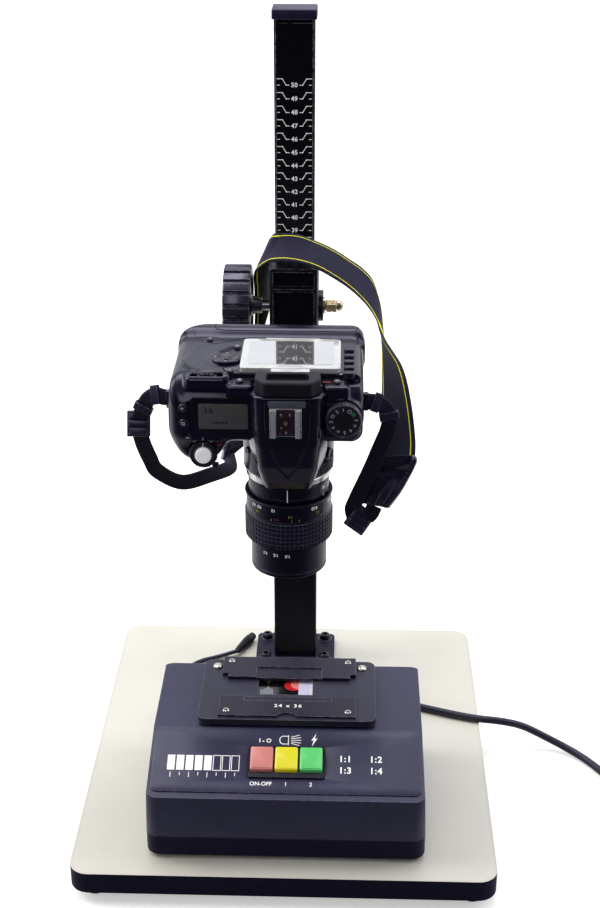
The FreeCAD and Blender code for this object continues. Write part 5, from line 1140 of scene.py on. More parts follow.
def case_field(place):
    x, y, z = place[..., 0], place[..., 1], place[..., 2]
    body = pushed(plan_of_case(x, y), z, 330.0, 374.4, 7.5)
    # the grip is a rounded upright with a full, round toe
    stem = np.hypot(x + 57.4, np.maximum(np.maximum(330.5 - z, z - 352), 0)) - 11.2
    body = meld(body, soft_corner(np.stack([stem, np.abs(y + 37.5) - 39.5], -1), 6.5), 9.0)
    # between the back and the top the case falls away towards the user
    body = keep_inside(body, (z - BACK - (y + 73.5)) * 0.7071, 5.0)
    # beside the eyepiece the back ends in a step, and small raised plates carry a key each
    step = keep_inside(keep_inside(y + 70.5, (369.6 - z), 0.8), np.abs(x - 3.0) - 47.5, 2.5)
    body = carve(body, step, 1.0)
    for middle in (-29.6, 34.0):
        body = meld(body, field_block(place, (middle - 8.6, -87.4, 361), (middle + 8.6, -72.8, 371.6), 2.4),
                    1.2)
    # raised thumb rest, round field under the selector, and the long ridge along the base
    body = meld(body, pushed(field_outline(x, y, THUMB_REST), z, 366, 375.9, 1.6), 2.0)
    body = meld(body, field_drum(place, (*SELECTOR, 370), 2, 14.5, 5.6, 1.2), 1.6)
    body = meld(body, pushed(np.maximum(plan_of_case(x, y) + 0.3, -4.4 - y), z, 352, 379.6, 6.5), 7.0)
    # neck that carries the lens mount
    body = meld(body, field_drum(place, (*LENS, 318), 2, 31.6, 22, 3.0), 7.0)
    # raised bridge to the prism housing, dial socket and a shallow bed round the display
    body = meld(body, field_block(place, (-19, -91.5, 333), (22, -70, 368), 4.0), 5.0)
    body = meld(body, field_drum(place, (39.2, -84, 350), 1, 13.4, 4.2, 1.0), 2.0)
    body = carve(body, field_block(place, (-64.5, -92, 331.5), (-19.6, -87.2, 364.5), 0.8), 0.6)
    # slot of the command wheel and the bed of the release
    body = meld(body, field_block(place, (-66.5, -83.4, 352), (-37.0, -72.4, 376.0), 4.0), 3.0)
    body = carve(body, field_block(place, (-62.6, -80.8, 355.6), (-41.0, -75.2, 384), 0.6), 0.4)
    body = carve(body, field_drum(place, (-54.8, -86.5, 321), 1, 10.2, 2.4, 0.5), 0.6)
    body = carve(body, field_drum(place, (-54.8, -82.0, 321), 1, 3.6, 5.5, 0.4), 0.3)
    return body.astype(np.float32)


PRISM_PANEL = [(-14.6, 364), (-14.6, 346), (-12.4, 332), (-7.6, 318), (0.0, 306.5), (7.6, 318), (12.4, 332),
               (14.6, 346), (14.6, 364)]


def prism_nose(z):
    """How high the prism housing's top stands at each place along it."""
    return np.interp(z, [295, 303, 316, 332, 376], [-86.8, -90.5, -95.2, -98.2, -98.2])


def prism_panel_field(place):
    """The dark pointed panel that fills the sunk place in the prism housing."""
    x, y, z = place[..., 0] - LENS[0] - 1.0, place[..., 1], place[..., 2]
    body = keep_inside(field_outline(x, z, PRISM_PANEL) + 0.35, np.abs(y - prism_nose(z) - 1.1) - 0.75, 0.3)
    return body.astype(np.float32)


def groove_field(place, a, b, ra, rb):
    """A round bar that narrows from one end to the other."""
    a, b = np.asarray(a, float), np.asarray(b, float)
    t = np.clip(((place - a) @ (b - a)) / ((b - a) @ (b - a)), 0, 1)
    away = np.linalg.norm(place - (a + t[..., None] * (b - a)), axis=-1)
    return (away - (ra + t * (rb - ra))).astype(np.float32)


def prism_field(place):
    middle = LENS[0] + 1.0
    x, y, z = place[..., 0] - middle, place[..., 1], place[..., 2]
    half = np.interp(z, [296, 312, 335, 376], [14.2, 17.8, 19.8, 20.6])
    flare = np.interp(z, [296, 318, 342], [0.12, 0.3, 0.55])
    sides = (np.abs(x) - half - flare * (y + 98.0)) * 0.87
    nose = prism_nose(z)
    body = keep_inside(sides, nose - y, 5.0)
    body = keep_inside(body, np.abs(z - 331.7) - 36.5, 2.0)
    body = keep_inside(body, y + np.interp(z, [316, 330], [72.0, 80.5]), 1.0)
    # long pointed panel sunk into the top
    body = carve(body, keep_inside(field_outline(x, z, PRISM_PANEL), y - nose - 0.9, 0.3), 0.3)
    # shallow grooves down both flanks
    for side in (-1, 1):
        ends = (middle + side * 21.2, -97.2, 352), (middle + side * 18.6, -90.4, 312)
        body = carve(body, groove_field(place, *ends, 0.55, 0.4), 0.3)
    return body.astype(np.float32)


def eyecup_field(place):
    x, y, z = place[..., 0] - 2.2, place[..., 1], place[..., 2]
    # the solids are given where they would stand without the drop
    place = place + np.array((0, 0, EYE_DROP))
    body = field_block(place, (-19.6, -98.0, 374.6), (24.0, -76.8, 385.9), 2.6)
    for side in (-1, 1):
        body = keep_inside(body, (side * x - 0.75 * (y + 98) - 15.5) * 0.8, 1.6)
        body = keep_inside(body, (side * x + 0.55 * (y + 76.8) - 20.4) * 0.87, 1.6)
    body = carve(body, field_block(place, (-11.8, -93.2, 380.4), (16.2, -81.6, 390), 2.6), 0.8)
    rim = np.abs(field_block(place, (-15.6, -95.2, 384.2), (20.0, -79.6, 390), 3.2)) - 0.35
    body = carve(body, keep_inside(rim, 385.2 - z, 0.3), 0.3)
    body = carve(body, field_block(place, (-8.2, -78.4, 380.6), (12.6, -74, 384.4), 0.8), 0.4)
    return body.astype(np.float32)


def grown(name, field, low, high, step, material, replaces=()):
    points, quads = surface(field, low, high, step)
    return new_object(name, points, quads, "carriage", material, replaces)


def seam_on(shape, line, way, radius, closed=False, per=8):
    """A thin dark joint line that lies in the case's surface."""
    points = land(curve_through(line, per, closed), case_field, way)
    if len(points) > 4:
        shape.tube(points, radius, 6, closed=closed)


def make_case():
    grown("camera_case", case_field, (-80, -93, 294), (56, 14, 384), 0.8,
          camera_plastic, replaces=("camera_shell", "camera_back"))
    grown("camera_prism", prism_field, (-27, -101, 292), (31, -69, 372), 0.7, camera_plastic,
          replaces=("prism_cover",))
    grown("camera_prism_panel", prism_panel_field, (-15, -100, 303), (19, -88, 367), 0.6, panel_dark)
    grown("camera_eyecup", eyecup_field, (-22, -100, 365), (27, -74, 381), 0.6, soft_rubber,
          ("eyepiece",))


def make_seams():
    seams = Shape()
    # on the back: round the screen, round the thumb rest and along the base
    for line, radius, per in (
            ([(-52.0, 9.0), (-52.2, 2), (-49.6, -2.0), (-30, -2.6), (20, -2.6), (44, -2.6), (47.6, -1),
              (48.4, 8)],
             0.3, 8), (THUMB_REST[:5], 0.22, 4), (THUMB_REST[6:9], 0.22, 4),
            ([(-68, -2), (-62, -14), (-52, -19), (-40, -13.5), (-30, -8), (10, -7.5), (44, -7.5)], 0.18, 8)):
        seam_on(seams, [(x, y, OVER_BACK) for x, y in line], (0, 0, -1), radius, per=per)
    # joint round the whole case between its back and its middle
    seam_on(seams, [(-86, y, 366) for y in (-70, -40, -5)], (1, 0, 0), 0.25)
    seam_on(seams, [(BESIDE, y, 366) for y in (-76, -40, 0)], (-1, 0, 0), 0.25)
    # covers over the sockets on the right, and the battery door under the grip
    door = [(-66, 361), (-20, 361), (-17, 358), (-17, 338), (-20, 335), (-66, 335), (-69, 338), (-69, 358)]
    seam_on(seams, [(BESIDE, y, z) for y, z in door], (-1, 0, 0), 0.25, closed=True)
    seam_on(seams, [(BESIDE, -43, z) for z in (361, 335)], (-1, 0, 0), 0.2)
    hatch = [(-70, 340), (-70, 362), (-66, 366), (-38, 366), (-34, 362), (-34, 336), (-38, 332), (-66, 332)]
    seam_on(seams, [(x, 20, z) for x, z in hatch], (0, -1, 0), 0.25, closed=True)
    seams.make("camera_seams", "carriage", "camera_panel", seam_dark, None)


def make_plate(name, slot, material, outline, face, low, high, bevel):
    plate = Shape()
    plate.prism(outline, face, low, high, bevel)
    plate.make(name, "carriage", slot, material)


def make_display():
    outline = [(-62.4, 344.2), (-57.4, 339.6), (-39.6, 334.0), (-21.4, 334.0), (-20.2, 335.2), (-20.2, 362.4),
               (-21.4, 363.6), (-60.8, 363.6), (-62.4, 362.0)]
    make_plate("display_frame", "camera_panel", panel_black, outline, front_at(y=TOP + 0.9), 0, 1.3, 0.5)
    glass = Finish("display_glass", Roughness=0.08, Coat_Weight=0.6, Coat_Roughness=0.04)
    glass.link(Base_Color=glass.mix(glass.patches(30.0, 2.0), rgb(88, 87, 84), rgb(98, 97, 93)))
    make_plate("display_window", "screen_plastic", glass.material, rounded(33.0, 18.2, 1.2, (-40.7, 350.2)),
               front_at(y=TOP - 0.3), 0, 0.35, 0.15)
    marks = Shape()
    marks.words("36", 6.2, front_at(-50.6, TOP - 0.66, 354.4), 0.05, spacing=1.15)
    for index in range(5):
        marks.block((-48 + 2.2 * index, TOP - 0.72, 345.2), (-46.6 + 2.2 * index, TOP - 0.66, 346.4))
    dim = moulded("display_segments", rgb(26, 26, 26), rough=(0.3, 0.4))
    marks.make("display_marks", "carriage", "screen_plastic", dim)


# each mark's strokes as lines through points, in units of its own half width, and how wide they are
ICONS = {
    "ring": ([circle(1, 12) + [(1, 0)]], 0.26),
    "bar": ([[(-1, 0), (1, 0)]], 0.5),
    "plus": ([[(-1, 0), (1, 0)], [(0, -1), (0, 1)]], 0.28),
    "square": ([[(-0.9, -0.7), (0.9, -0.7), (0.9, 0.7), (-0.9, 0.7), (-0.9, -0.7)]], 0.26),
    "dots": ([[(k - 0.15, 0), (k + 0.15, 0)] for k in (-0.8, 0, 0.8)], 0.3),
    "play": ([[(-0.6, -0.8), (0.9, 0), (-0.6, 0.8), (-0.6, -0.8)]], 0.26),
}


def icon(shape, kind, face, size=1.0):
    """A small generic mark."""
    origin, u, v = (Vector(part) for part in face)
    normal = u.cross(v).normalized()
    lines, width = ICONS[kind]
    for line in lines:
        places = [origin + u * a * size + v * b * size for a, b in line]
        for a, b in zip(places, places[1:]):
            side = (b - a).cross(normal).normalized() * width * size / 2
            corners = [a - side, b - side, b + side, a + side]
            top, base = ([shape.bm.verts.new(c + normal * h) for c in corners] for h in (0.08, -0.1))
            shape.skin([base, top])
            shape.bm.faces.new(top)


def around(centre, y, radius, angle):
    """A face at an angle round a dial on the camera's top, whose figures stand upright towards its middle."""
    c, s = math.cos(angle), math.sin(angle)
    x, z = polar(centre, radius, angle)
    return (x, y, z), (s, 0, -c), (c, 0, s)


def make_keys():
    keys, marks = Shape(), Shape()
    for x, y, kind in ((41.3, -71.5, "ring"), (41.3, -61.5, "plus"), (41.3, -51.5, "bar"),
                       (41.3, -41.0, "square"), (41.3, -30.0, "dots"), (-35.0, -26.6, "ring"),
                       (-37.0, -70.0, "plus"), (-55.0, -13.0, "play")):
        if x < 0:
            keys.lathe([(0.0, 372.0), (2.6, 372.0), (2.6, 375.6), (2.35, 376.1), (1.7, 376.4), (0, 376.5)],
                       (x, y, 0), sides=28)
            icon(marks, kind, top_at(x, y, 376.45), 0.9)
        else:
            # an oblong key has its mark on the case beside it
            keys.prism(rounded(7.2, 4.6, 2.2, (x + 1.2, y)), top_at(), 372.0, 376.2, 0.55, 3)
            icon(marks, kind, top_at(x - 4.4, y, 374.5), 0.9)
    keys.make("back_keys", "rear_keys", "key_plastic", key_black, replaces=("rear_keys",))
    marks.make("back_key_marks", "carriage", "key_plastic", white_print)


def make_selector():
    """A round rocker with a raised middle."""
    def oval(angle, index):
        return 1.0 + 0.07 * math.cos(2 * angle) if 3 <= index < 8 else 1.0

    pad, arrows = Shape(), Shape()
    pad.lathe([(0, 371.5), (4.2, 371.5), (4.2, 376.1), (9.0, 376.2), (9.0, 377.0), (8.4, 377.9), (6.9, 378.1),
               (5.6, 377.5), (3.9, 377.1), (3.3, 377.2), (3.2, 377.9), (2.4, 378.3), (0, 378.4)],
              (*SELECTOR, 0), wave=oval)
    pad.make("selector_pad", "selector", "soft_rubber", key_black, None, ("multi_selector",))
    for turn in range(4):
        a = math.tau * turn / 4
        c, s = math.cos(a), math.sin(a)
        icon(arrows, "play", ((*polar(SELECTOR, 7.3, a), 378.1), (c, s, 0), (-s, c, 0)), 0.62)
    arrows.make("selector_arrows", "selector", "key_plastic", white_print)


def make_case_keys():
    """Keys on the shoulder plates and on the grip's flank."""
    keys, marks, red = Shape(), Shape(), Shape()
    for x, y in ((-29.9, -79.6), (34.5, -79.2)):
        keys.lathe([(0, 367), (2.9, 367), (2.9, 372.3), (2.5, 373.0), (1.6, 373.3), (0, 373.4)], (x, y, 0),
                   sides=28)
        icon(marks, "ring", top_at(x, y, 373.35))
    tilt = Vector((-0.28, -0.96, 0.0)).normalized()
    for x, z, kind in ((-67.2, 356.0, "plus"), (-66.9, 345.2, "square"), (-64.2, 334.4, "bar")):
        spot = Vector(land([(x, -100, z)], case_field, (0, 1, 0), 24)[0])
        keys.lathe([(0, -1.0), (2.9, -1.0), (2.9, 0.7), (2.5, 1.1), (1.4, 1.35), (0, 1.4)], spot, tilt,
                   sides=28)
        icon(marks, kind, (spot + tilt * 1.45, Vector((0.96, -0.28, 0)).normalized(), (0, 0, 1)), 1.1)
    keys.make("case_keys", "carriage", "key_plastic", key_black)
    marks.make("case_key_marks", "carriage", "key_plastic", white_print)
    icon(red, "bar", top_at(27.6, -78.6, 371.75), 2.6)
    icon(red, "bar", front_at(-44.6, -84.6, 327.6), 2.0)
    red.make("red_marks", "carriage", "key_plastic", red_print)


def make_release():
    ring, tick, cap, scale = (Shape() for _ in range(4))
    ring.lathe([(6.0, 0.3), (9.2, 0.3), (9.5, 0.7), (9.5, 2.6), (9.1, 3.2), (7.6, 3.45), (6.4, 3.3),
                (6.0, 2.9)],
               RELEASE, UP, 104, knurled(0.022, 26, (2, 3)), closed=True)
    ring.block((-49.0, -87.6, 311.5), (-44.6, -84.6, 315.4), 0.8)
    ring.make("release_ring", "power_switch", "dial_plastic", key_black, 40, ("power_ring",))
    tick.block((-55.2, -87.75, 327.4), (-54.4, -87.3, 330.0))
    tick.make("release_ring_mark", "power_switch", "dial_plastic", white_print)
    cap.lathe([(0, -4), (2.5, -4), (2.5, 2.3), (5.45, 2.3), (5.5, 4.6), (5.2, 5.3), (4.2, 5.8), (2.6, 5.75),
               (0, 5.5)],
              RELEASE, UP)
    cap.make("release_cap", "release", "key_plastic", release_pearl, 40, ("shutter_button",))
    for turn, kind in ((-28, "ring"), (0, "bar"), (28, "ring")):
        a = math.radians(90 + turn)
        x, z = polar(RELEASE_XZ, 12.0, a)
        spot = land([(x, GRIP_TOP - 9.6, z)], case_field, (0, 1, 0), 14)[0] - (0, 0.03, 0)
        icon(scale, kind, (spot, (math.cos(a), 0, math.sin(a)), (-math.sin(a), 0, math.cos(a))))
    scale.make("release_scale", "carriage", "dial_plastic", white_print)


def make_dials():
    dial, band, middle, marks, green, index_mark, wheel = (Shape() for _ in range(7))
    dial.lathe([(11.6, 0.4), (12.1, 0.9), (12.1, 5.0), (11.5, 5.7), (10.9, 5.8), (10.8, 5.2), (0, 5.2)], DIAL,
               UP, 176, knurled(0.028, 44, (2, 3), 0.1))
    dial.lathe([(0, -3.9), (2.5, -3.9), (2.5, 0.5), (0, 0.5)], DIAL, UP, 24)
    dial.make("mode_dial_rim", "mode_dial", "dial_plastic", key_black, 35, ("mode_dial",))
    band.lathe([(6.3, 5.15), (9.9, 5.15), (9.9, 5.45), (6.3, 5.45)], DIAL, UP, 96, closed=True)
    pale = moulded("dial_band", rgb(46, 46, 56), rgb(36, 36, 45), (0.3, 0.45), 6, 0.4, 0.01)
    band.make("mode_dial_band", "mode_dial", "dial_plastic", pale)
    middle.lathe([(0, 5.0), (6.2, 5.0), (6.2, 5.7), (5.4, 6.0), (4.4, 6.05), (4.2, 5.85), (0, 5.8)], DIAL, UP,
                 64)
    middle.make("mode_dial_middle", "mode_dial", "dial_plastic", soft_rubber)
    for index in range(11):
        face = around(DIAL_XZ, TOP - 5.5, 8.1, math.radians(62 + index * 30.5))
        if index % 3 == 0:
            icon(marks, ("ring", "square", "plus", "play")[index // 3], face, 1.15)
        else:
            marks.words(str(index - index // 3), 3.4, face, 0.1, bold=0.04)
    marks.make("mode_dial_marks", "mode_dial", "dial_plastic", white_print)
    green.slab(3.0, 2.6, 0.4, (0, 0), around(DIAL_XZ, TOP - 5.4, 8.1, math.radians(38)), -0.05, 0.12, 0.04, 2)
    green.make("mode_dial_green", "mode_dial", "dial_plastic", green_print)
    index_mark.block((22.6, -88.9, 349.6), (25.2, -88.0, 350.4))
    index_mark.make("mode_dial_index", "carriage", "dial_plastic", white_print)
    wheel.lathe([(9.0, -2.2), (9.4, -1.9), (9.4, 1.9), (9.0, 2.2), (0, 2.2)], WHEEL, UP, 176,
                lambda angle, index: 1.0 + (0.055 * math.cos(22 * angle) if index in (1, 2) else 0))
    wheel.lathe([(0, -6.0), (1.5, -6.0), (1.5, -2.2), (9.0, -2.2)], WHEEL, UP, 176)
    wheel.make("thumb_wheel", "command_wheel", "soft_rubber", soft_rubber, 40, ("command_wheel",))


def make_shoe():
    shoe, dots = Shape(), Shape()
    x, y, high, low = LENS[0], SHOE_Y, SHOE_Z + 10, SHOE_Z - 10
    shoe.block((x - 10.4, y - 0.75, low), (x + 10.4, y + 0.3, high), 0.2)
    for side in (-1, 1):
        for inner, bottom, bevel in ((9.5, -0.2, 0.3), (6.4, -3.0, 0.35)):
            a, b = sorted((x + side * 10.5, x + side * inner))
            shoe.block((a, y - 4.0, low), (b, y + bottom, high), bevel)
    shoe.make("shoe_rails", "carriage", "shoe_steel", steel, 35, ("hot_shoe",))
    brown = moulded("shoe_floor", rgb(58, 36, 42), rgb(46, 30, 36), (0.35, 0.5), 10, 0.5, 0.02)
    make_plate("shoe_floor", "shoe_steel", brown, rounded(12.2, 19.0, 0.8, (x, SHOE_Z)), front_at(y=y - 0.7),
               0, 0.35, 0.1)
    for dx, dz, r in ((0, 0, 1.5), (-2.9, 5.6, 0.85), (2.9, 5.6, 0.85), (-2.9, -3.6, 0.75), (0.4, -7.0, 0.9)):
        dots.lathe([(0, 0), (r, 0), (r, 0.25), (r * 0.7, 0.42), (0, 0.45)], (x + dx, y - 0.95, SHOE_Z + dz),
                   UP, 20)
    for dx in (-3.6, 3.6):
        dots.lathe([(0, 0), (0.6, 0), (0.5, 0.3), (0, 0.35)], (x + dx, y - 0.9, SHOE_Z - 7.6), UP, 14)
    contacts = brushed("contact_metal", rgb(196, 184, 160), (0.2, 0.3))
    dots.make("shoe_contacts", "carriage", "shoe_steel", contacts)
    grey = moulded("shoe_plate_grey", rgb(104, 106, 114), rgb(92, 94, 102), (0.3, 0.4), 9, 0.4, 0.02)
    make_plate("shoe_plate", "camera_panel", grey, rounded(24.4, 4.6, 0.5, (x + 0.8, 363.8)),
               front_at(y=y + 0.2), 0, 0.55, 0.2)


def make_screen_cover():
    cover = Shape()
    cover.prism(rounded(67.6, 53.4, 3.4, (3.0, -44.0), 5), top_at(), 374.6, 378.2, 0.7, 3)
    cover.prism(rounded(38.0, 5.0, 1.2, (3.2, -16.6), 3), top_at(), 374.6, 377.6, 0.5)
    cover.prism(rounded(26.0, 6.4, 1.4, (3.4, -72.4), 3), top_at(), 374.4, 377.7, 0.5)
    clear = Finish("screen_cover_plastic", Metallic=0.0, Coat_Weight=1.0, Coat_Roughness=0.02,
                   Specular_IOR_Level=1.0)
    clear.link(Base_Color=clear.mix(clear.patches(14.0, 4.0), rgb(186, 186, 186), rgb(202, 202, 200)),
               Roughness=clear.patches(5.0, 4.0, low=0.05, high=0.12))
    cover.make("cover_plate", "carriage", "screen_plastic", clear.material, 35, ("screen_cover",))
    mirror = Finish("screen_window", Metallic=0.92)
    mirror.link(Base_Color=mirror.mix(mirror.patches(20.0), rgb(228, 228, 230), rgb(234, 234, 236)),
                Roughness=mirror.patches(8.0, low=0.02, high=0.06))
    make_plate("cover_window", "screen_plastic", mirror.material, rounded(58.0, 42.0, 1.4, (3.0, -43.6)),
               top_at(), 378.0, 378.45, 0)


def make_neck_parts():
    """The lens release with its ribs right of the neck, and a cover for the focus lever left of it."""
    parts = Shape()
    for turn, z, radius, deep in ((-28, 312.5, 3.7, 2.4), (-150, 314, 2.6, 1.6)):
        a = math.radians(turn)
        way = Vector((math.cos(a), math.sin(a), 0))
        parts.lathe([(0, -1.5), (radius, -1.5), (radius, deep - 0.5), (radius - 0.5, deep),
                     (radius - 1.1, deep - 0.35), (0, deep - 0.2)], Vector((*LENS, z)) + way * 31.2, way, 32)
    for row in range(5):
        parts.tube([(*polar(LENS, 31.7, math.radians(turn)), 306.4 - row * 1.9)
                    for turn in range(-44, -11, 4)], 0.55)
    parts.make("lens_release", "carriage", "camera_body", key_black, 40)


def make_lugs():
    lugs = Shape()
    for x, side in ((-78.3, -1), (52.7, 1)):
        # each lug reaches further outwards than into the case
        low, high = (-3.4, 0.6) if side < 0 else (-0.6, 3.4)
        lugs.block((x + low, -62, 343.6), (x + high, -58, 356.4), 0.9)
        turns = [math.tau * k / 24 for k in range(24)]
        lugs.tube([(x + side * (1.4 + 1.6 * math.cos(a)), -59.4 + 0.66 * math.sin(a), 350 + 6.2 * math.sin(a))
                   for a in turns], 0.55, closed=True)
    lugs.make("strap_lugs", "carriage", "camera_body", key_black, 35)


make_case()
make_seams()
make_display()
make_keys()
make_selector()
make_case_keys()
make_release()
make_dials()
make_shoe()
make_screen_cover()
make_neck_parts()
make_lugs()


# ---------------------------------------------------------------- lens

GRIP_LOW, GRIP_HIGH, GRIP_ROWS, GRIP_COLUMNS = 243.7, 263.3, 6, 60

lens_black = moulded("lens_enamel", rgb(12, 10, 29), rgb(9, 7, 23), (0.24, 0.36), 20, 0.5, 0.015, 0.35,
                     rgb(90, 86, 108), Specular_IOR_Level=0.32)
mount_silver = brushed("mount_silver", rgb(226, 226, 224), (0.22, 0.34), (1, 1, 14), 0.3, 0.004)
yellow_print = moulded("yellow_print", rgb(214, 186, 70), rgb(196, 168, 60), (0.5, 0.6), 4, 0.3, 0.004)


def grip_rubber():
    """Dark rubber pads, paler in the grooves between them."""
    finish = Finish("lens_grip_rubber", Specular_IOR_Level=0.35, Specular_Tint=SHEEN_TINT)
    x, y, _ = finish.split()
    squares = [finish.maths("POWER", finish.maths("SUBTRACT", axis, middle * MM), 2.0)
               for axis, middle in ((x, LENS[0]), (y, LENS[1]))]
    pads = finish.ramp(finish.maths("ADD", *squares), (30.5 * MM) ** 2, (30.8 * MM) ** 2)
    rubber = finish.mix(finish.patches(10.0, 4.0), rgb(15, 13, 30), rgb(11, 9, 23))
    finish.link(Base_Color=finish.mix(pads, rgb(112, 110, 138), rubber),
                Roughness=finish.patches(4.0, 5.0, 0.7, 0.42, 0.56),
                Normal=finish.bump(finish.noise(0.5, 2.0), 0.04))
    return finish.material


def lens_face(angle, radius, z):
    """A face on the lens barrel whose figures read from behind the camera, upright towards the front."""
    a = math.radians(angle)
    return (*polar(LENS, radius, a), z), (math.sin(a), -math.cos(a), 0), (0, 0, -1)


def make_ring(name, body, slot, material, profile, sides, replaces=()):
    """A closed ring of the lens."""
    ring = Shape()
    ring.lathe(profile, LENS_AXIS, sides=sides, closed=True)
    ring.make(name, body, slot, material, 35, replaces)


def make_barrel():
    make_ring("lens_tube", "carriage", "lens_metal", lens_black,
              [(22.0, 274.2), (24.0, 273.4), (24.0, 289.9), (28.6, 290.1), (28.9, 290.5), (28.9, 291.4),
               (24.0, 291.5), (22.0, 292.5)], 96, ("lens_barrel",))
    make_ring("mount_ring", "carriage", "lens_metal", mount_silver,
              [(24.2, 291.6), (29.6, 291.6), (29.9, 291.9), (29.9, 295.4), (29.5, 295.9), (24.2, 295.9)], 96)


def make_aperture():
    make_ring("aperture_dial", "aperture", "ring_metal", lens_black,
              [(24.2, 278.8), (28.0, 278.8), (28.4, 279.1), (28.45, 281.2), (28.1, 281.5), (28.1, 281.9),
               (28.45, 282.2), (28.45, 289.2), (28.1, 289.6), (24.2, 289.6)], 120, ("aperture_ring",))
    marks = Shape()
    marks.stroke([(0, -4.4), (0, 4.4)], 0.5, lens_face(-90, 28.42, 284.8), 0.07)
    for index, stop in enumerate(("22", "16", "11", "8", "5.6", "4", "2.8")):
        marks.words(stop, 3.0, lens_face(-30 + 17 * index, 28.4, 285.6), 0.1, bold=0.05)
        marks.stroke([(0, 0.9), (0, -0.9)], 0.35, lens_face(-30 + 17 * index, 28.42, 280.1), 0.07)
    marks.make("aperture_marks", "aperture", "ring_metal", print_white)


def make_grip():
    """Rows of pads round the focus ring."""
    grid = Shape()
    pitch = (GRIP_HIGH - GRIP_LOW) / GRIP_ROWS
    profile = [(30.05, GRIP_LOW)]
    for row in range(GRIP_ROWS):
        foot = GRIP_LOW + row * pitch
        top = foot + pitch
        profile += [(30.3, foot + 0.05), (31.15, foot + 0.55), (31.2, top - 0.55), (30.3, top - 0.05)]
    profile.append((30.05, GRIP_HIGH))

    def notch(angle, index):
        return 0.972 if profile[index][0] > 31 and math.cos(GRIP_COLUMNS * angle) < -0.75 else 1.0
    grid.lathe(profile, LENS_AXIS, sides=GRIP_COLUMNS * 6, wave=notch)
    grid.make("focus_grip", "focus", "ring_rubber", grip_rubber(), 28)


def make_focus():
    make_ring("focus_sleeve", "focus", "ring_metal", lens_black,
              [(27.6, 243.8), (30.2, 243.8), (30.2, 263.4), (30.5, 263.6), (30.5, 264.6), (30.25, 264.9),
               (30.0, 276.2), (30.9, 277.2), (31.1, 277.7), (30.9, 278.2), (29.9, 278.3), (27.6, 277.6)], 120,
              ("focus_ring",))
    make_grip()
    white, yellow, red = Shape(), Shape(), Shape()
    for angle, text in ((-142, "0.7"), (-131, "0.5"), (-109, "12"), (-52, "0.22"), (-20, "0.25"), (20, "0.3"),
                        (60, "0.4")):
        white.words(text, 3.0, lens_face(angle, 30.12, 273.8), 0.1, bold=0.05)
    for angle, text in ((-86, "1.4"), (-134, "1.6"), (-46, "1.2"), (0, "1.1")):
        yellow.words(text, 2.6, lens_face(angle, 30.16, 269.8), 0.1, bold=0.05)
    for angle in (-140, -112, -84, -74, -40, -10, 24):
        yellow.stroke([(0, -0.9), (0, 0.9)], 0.35, lens_face(angle, 30.2, 266.4), 0.08)
    for angle in (-107, -103):
        red.loft([(circle(0.7, 10), height) for height in (-0.1, 0.12)], lens_face(angle, 30.2, 267.0))
    white.make("focus_figures", "focus", "ring_metal", print_white)
    yellow.make("focus_figures_yellow", "focus", "ring_metal", yellow_print)
    red.make("focus_dots_red", "focus", "ring_metal", red_print)


def make_front():
    make_ring("front_tube", "front_group", "lens_metal", lens_black,
              [(26.0, 218.7), (26.7, 218.7), (26.95, 219.0), (26.95, 221.4), (26.6, 221.7), (26.6, 222.3),
               (26.95, 222.6), (26.95, 240.6), (26.6, 240.9), (26.6, 241.5), (26.95, 241.8), (26.95, 252.5),
               (22.0, 252.5), (18.6, 232.0), (18.4, 231.2), (18.4, 225.3), (18.8, 225.0), (19.4, 225.0),
               (19.8, 225.4), (20.6, 225.4), (20.9, 225.0), (22.2, 225.0), (22.5, 225.4), (23.6, 225.4),
               (24.0, 225.0), (25.9, 224.8)], 120, ("front_barrel",))
    glass = Shape()
    glass.lathe([(0, 226.0), (6, 226.15), (12, 226.7), (16, 227.5), (18.2, 228.3), (18.2, 230.4), (12, 230.0),
                 (0, 229.7)],
                LENS_AXIS, sides=72)
    coat = Finish("lens_glass", Roughness=0.03, Transmission_Weight=0.5, IOR=1.6, Coat_Weight=1.0,
                  Coat_Roughness=0.02, Coat_Tint=(0.55, 0.45, 0.95, 1.0))
    coat.link(Base_Color=coat.mix(coat.patches(26.0), rgb(28, 24, 56), rgb(40, 22, 50)))
    glass.make("front_lens", "front_group", "lens_glass", coat.material, None, ("front_glass",))
    marks = Shape()
    for angle in range(-160, 180, 40):
        marks.stroke([(0, -1.2), (0, 1.2)], 0.3, lens_face(angle, 26.96, 247.6), 0.08)
    for angle, text in ((-126, "1:1"), (-108, "1:2"), (-90, "1:3")):
        marks.words(text, 3.2, lens_face(angle, 26.96, 236.8), 0.1, bold=0.05)
    marks.make("front_figures", "front_group", "lens_metal", print_white)


make_barrel()
make_aperture()
make_focus()
make_front()


# ---------------------------------------------------------------- strap

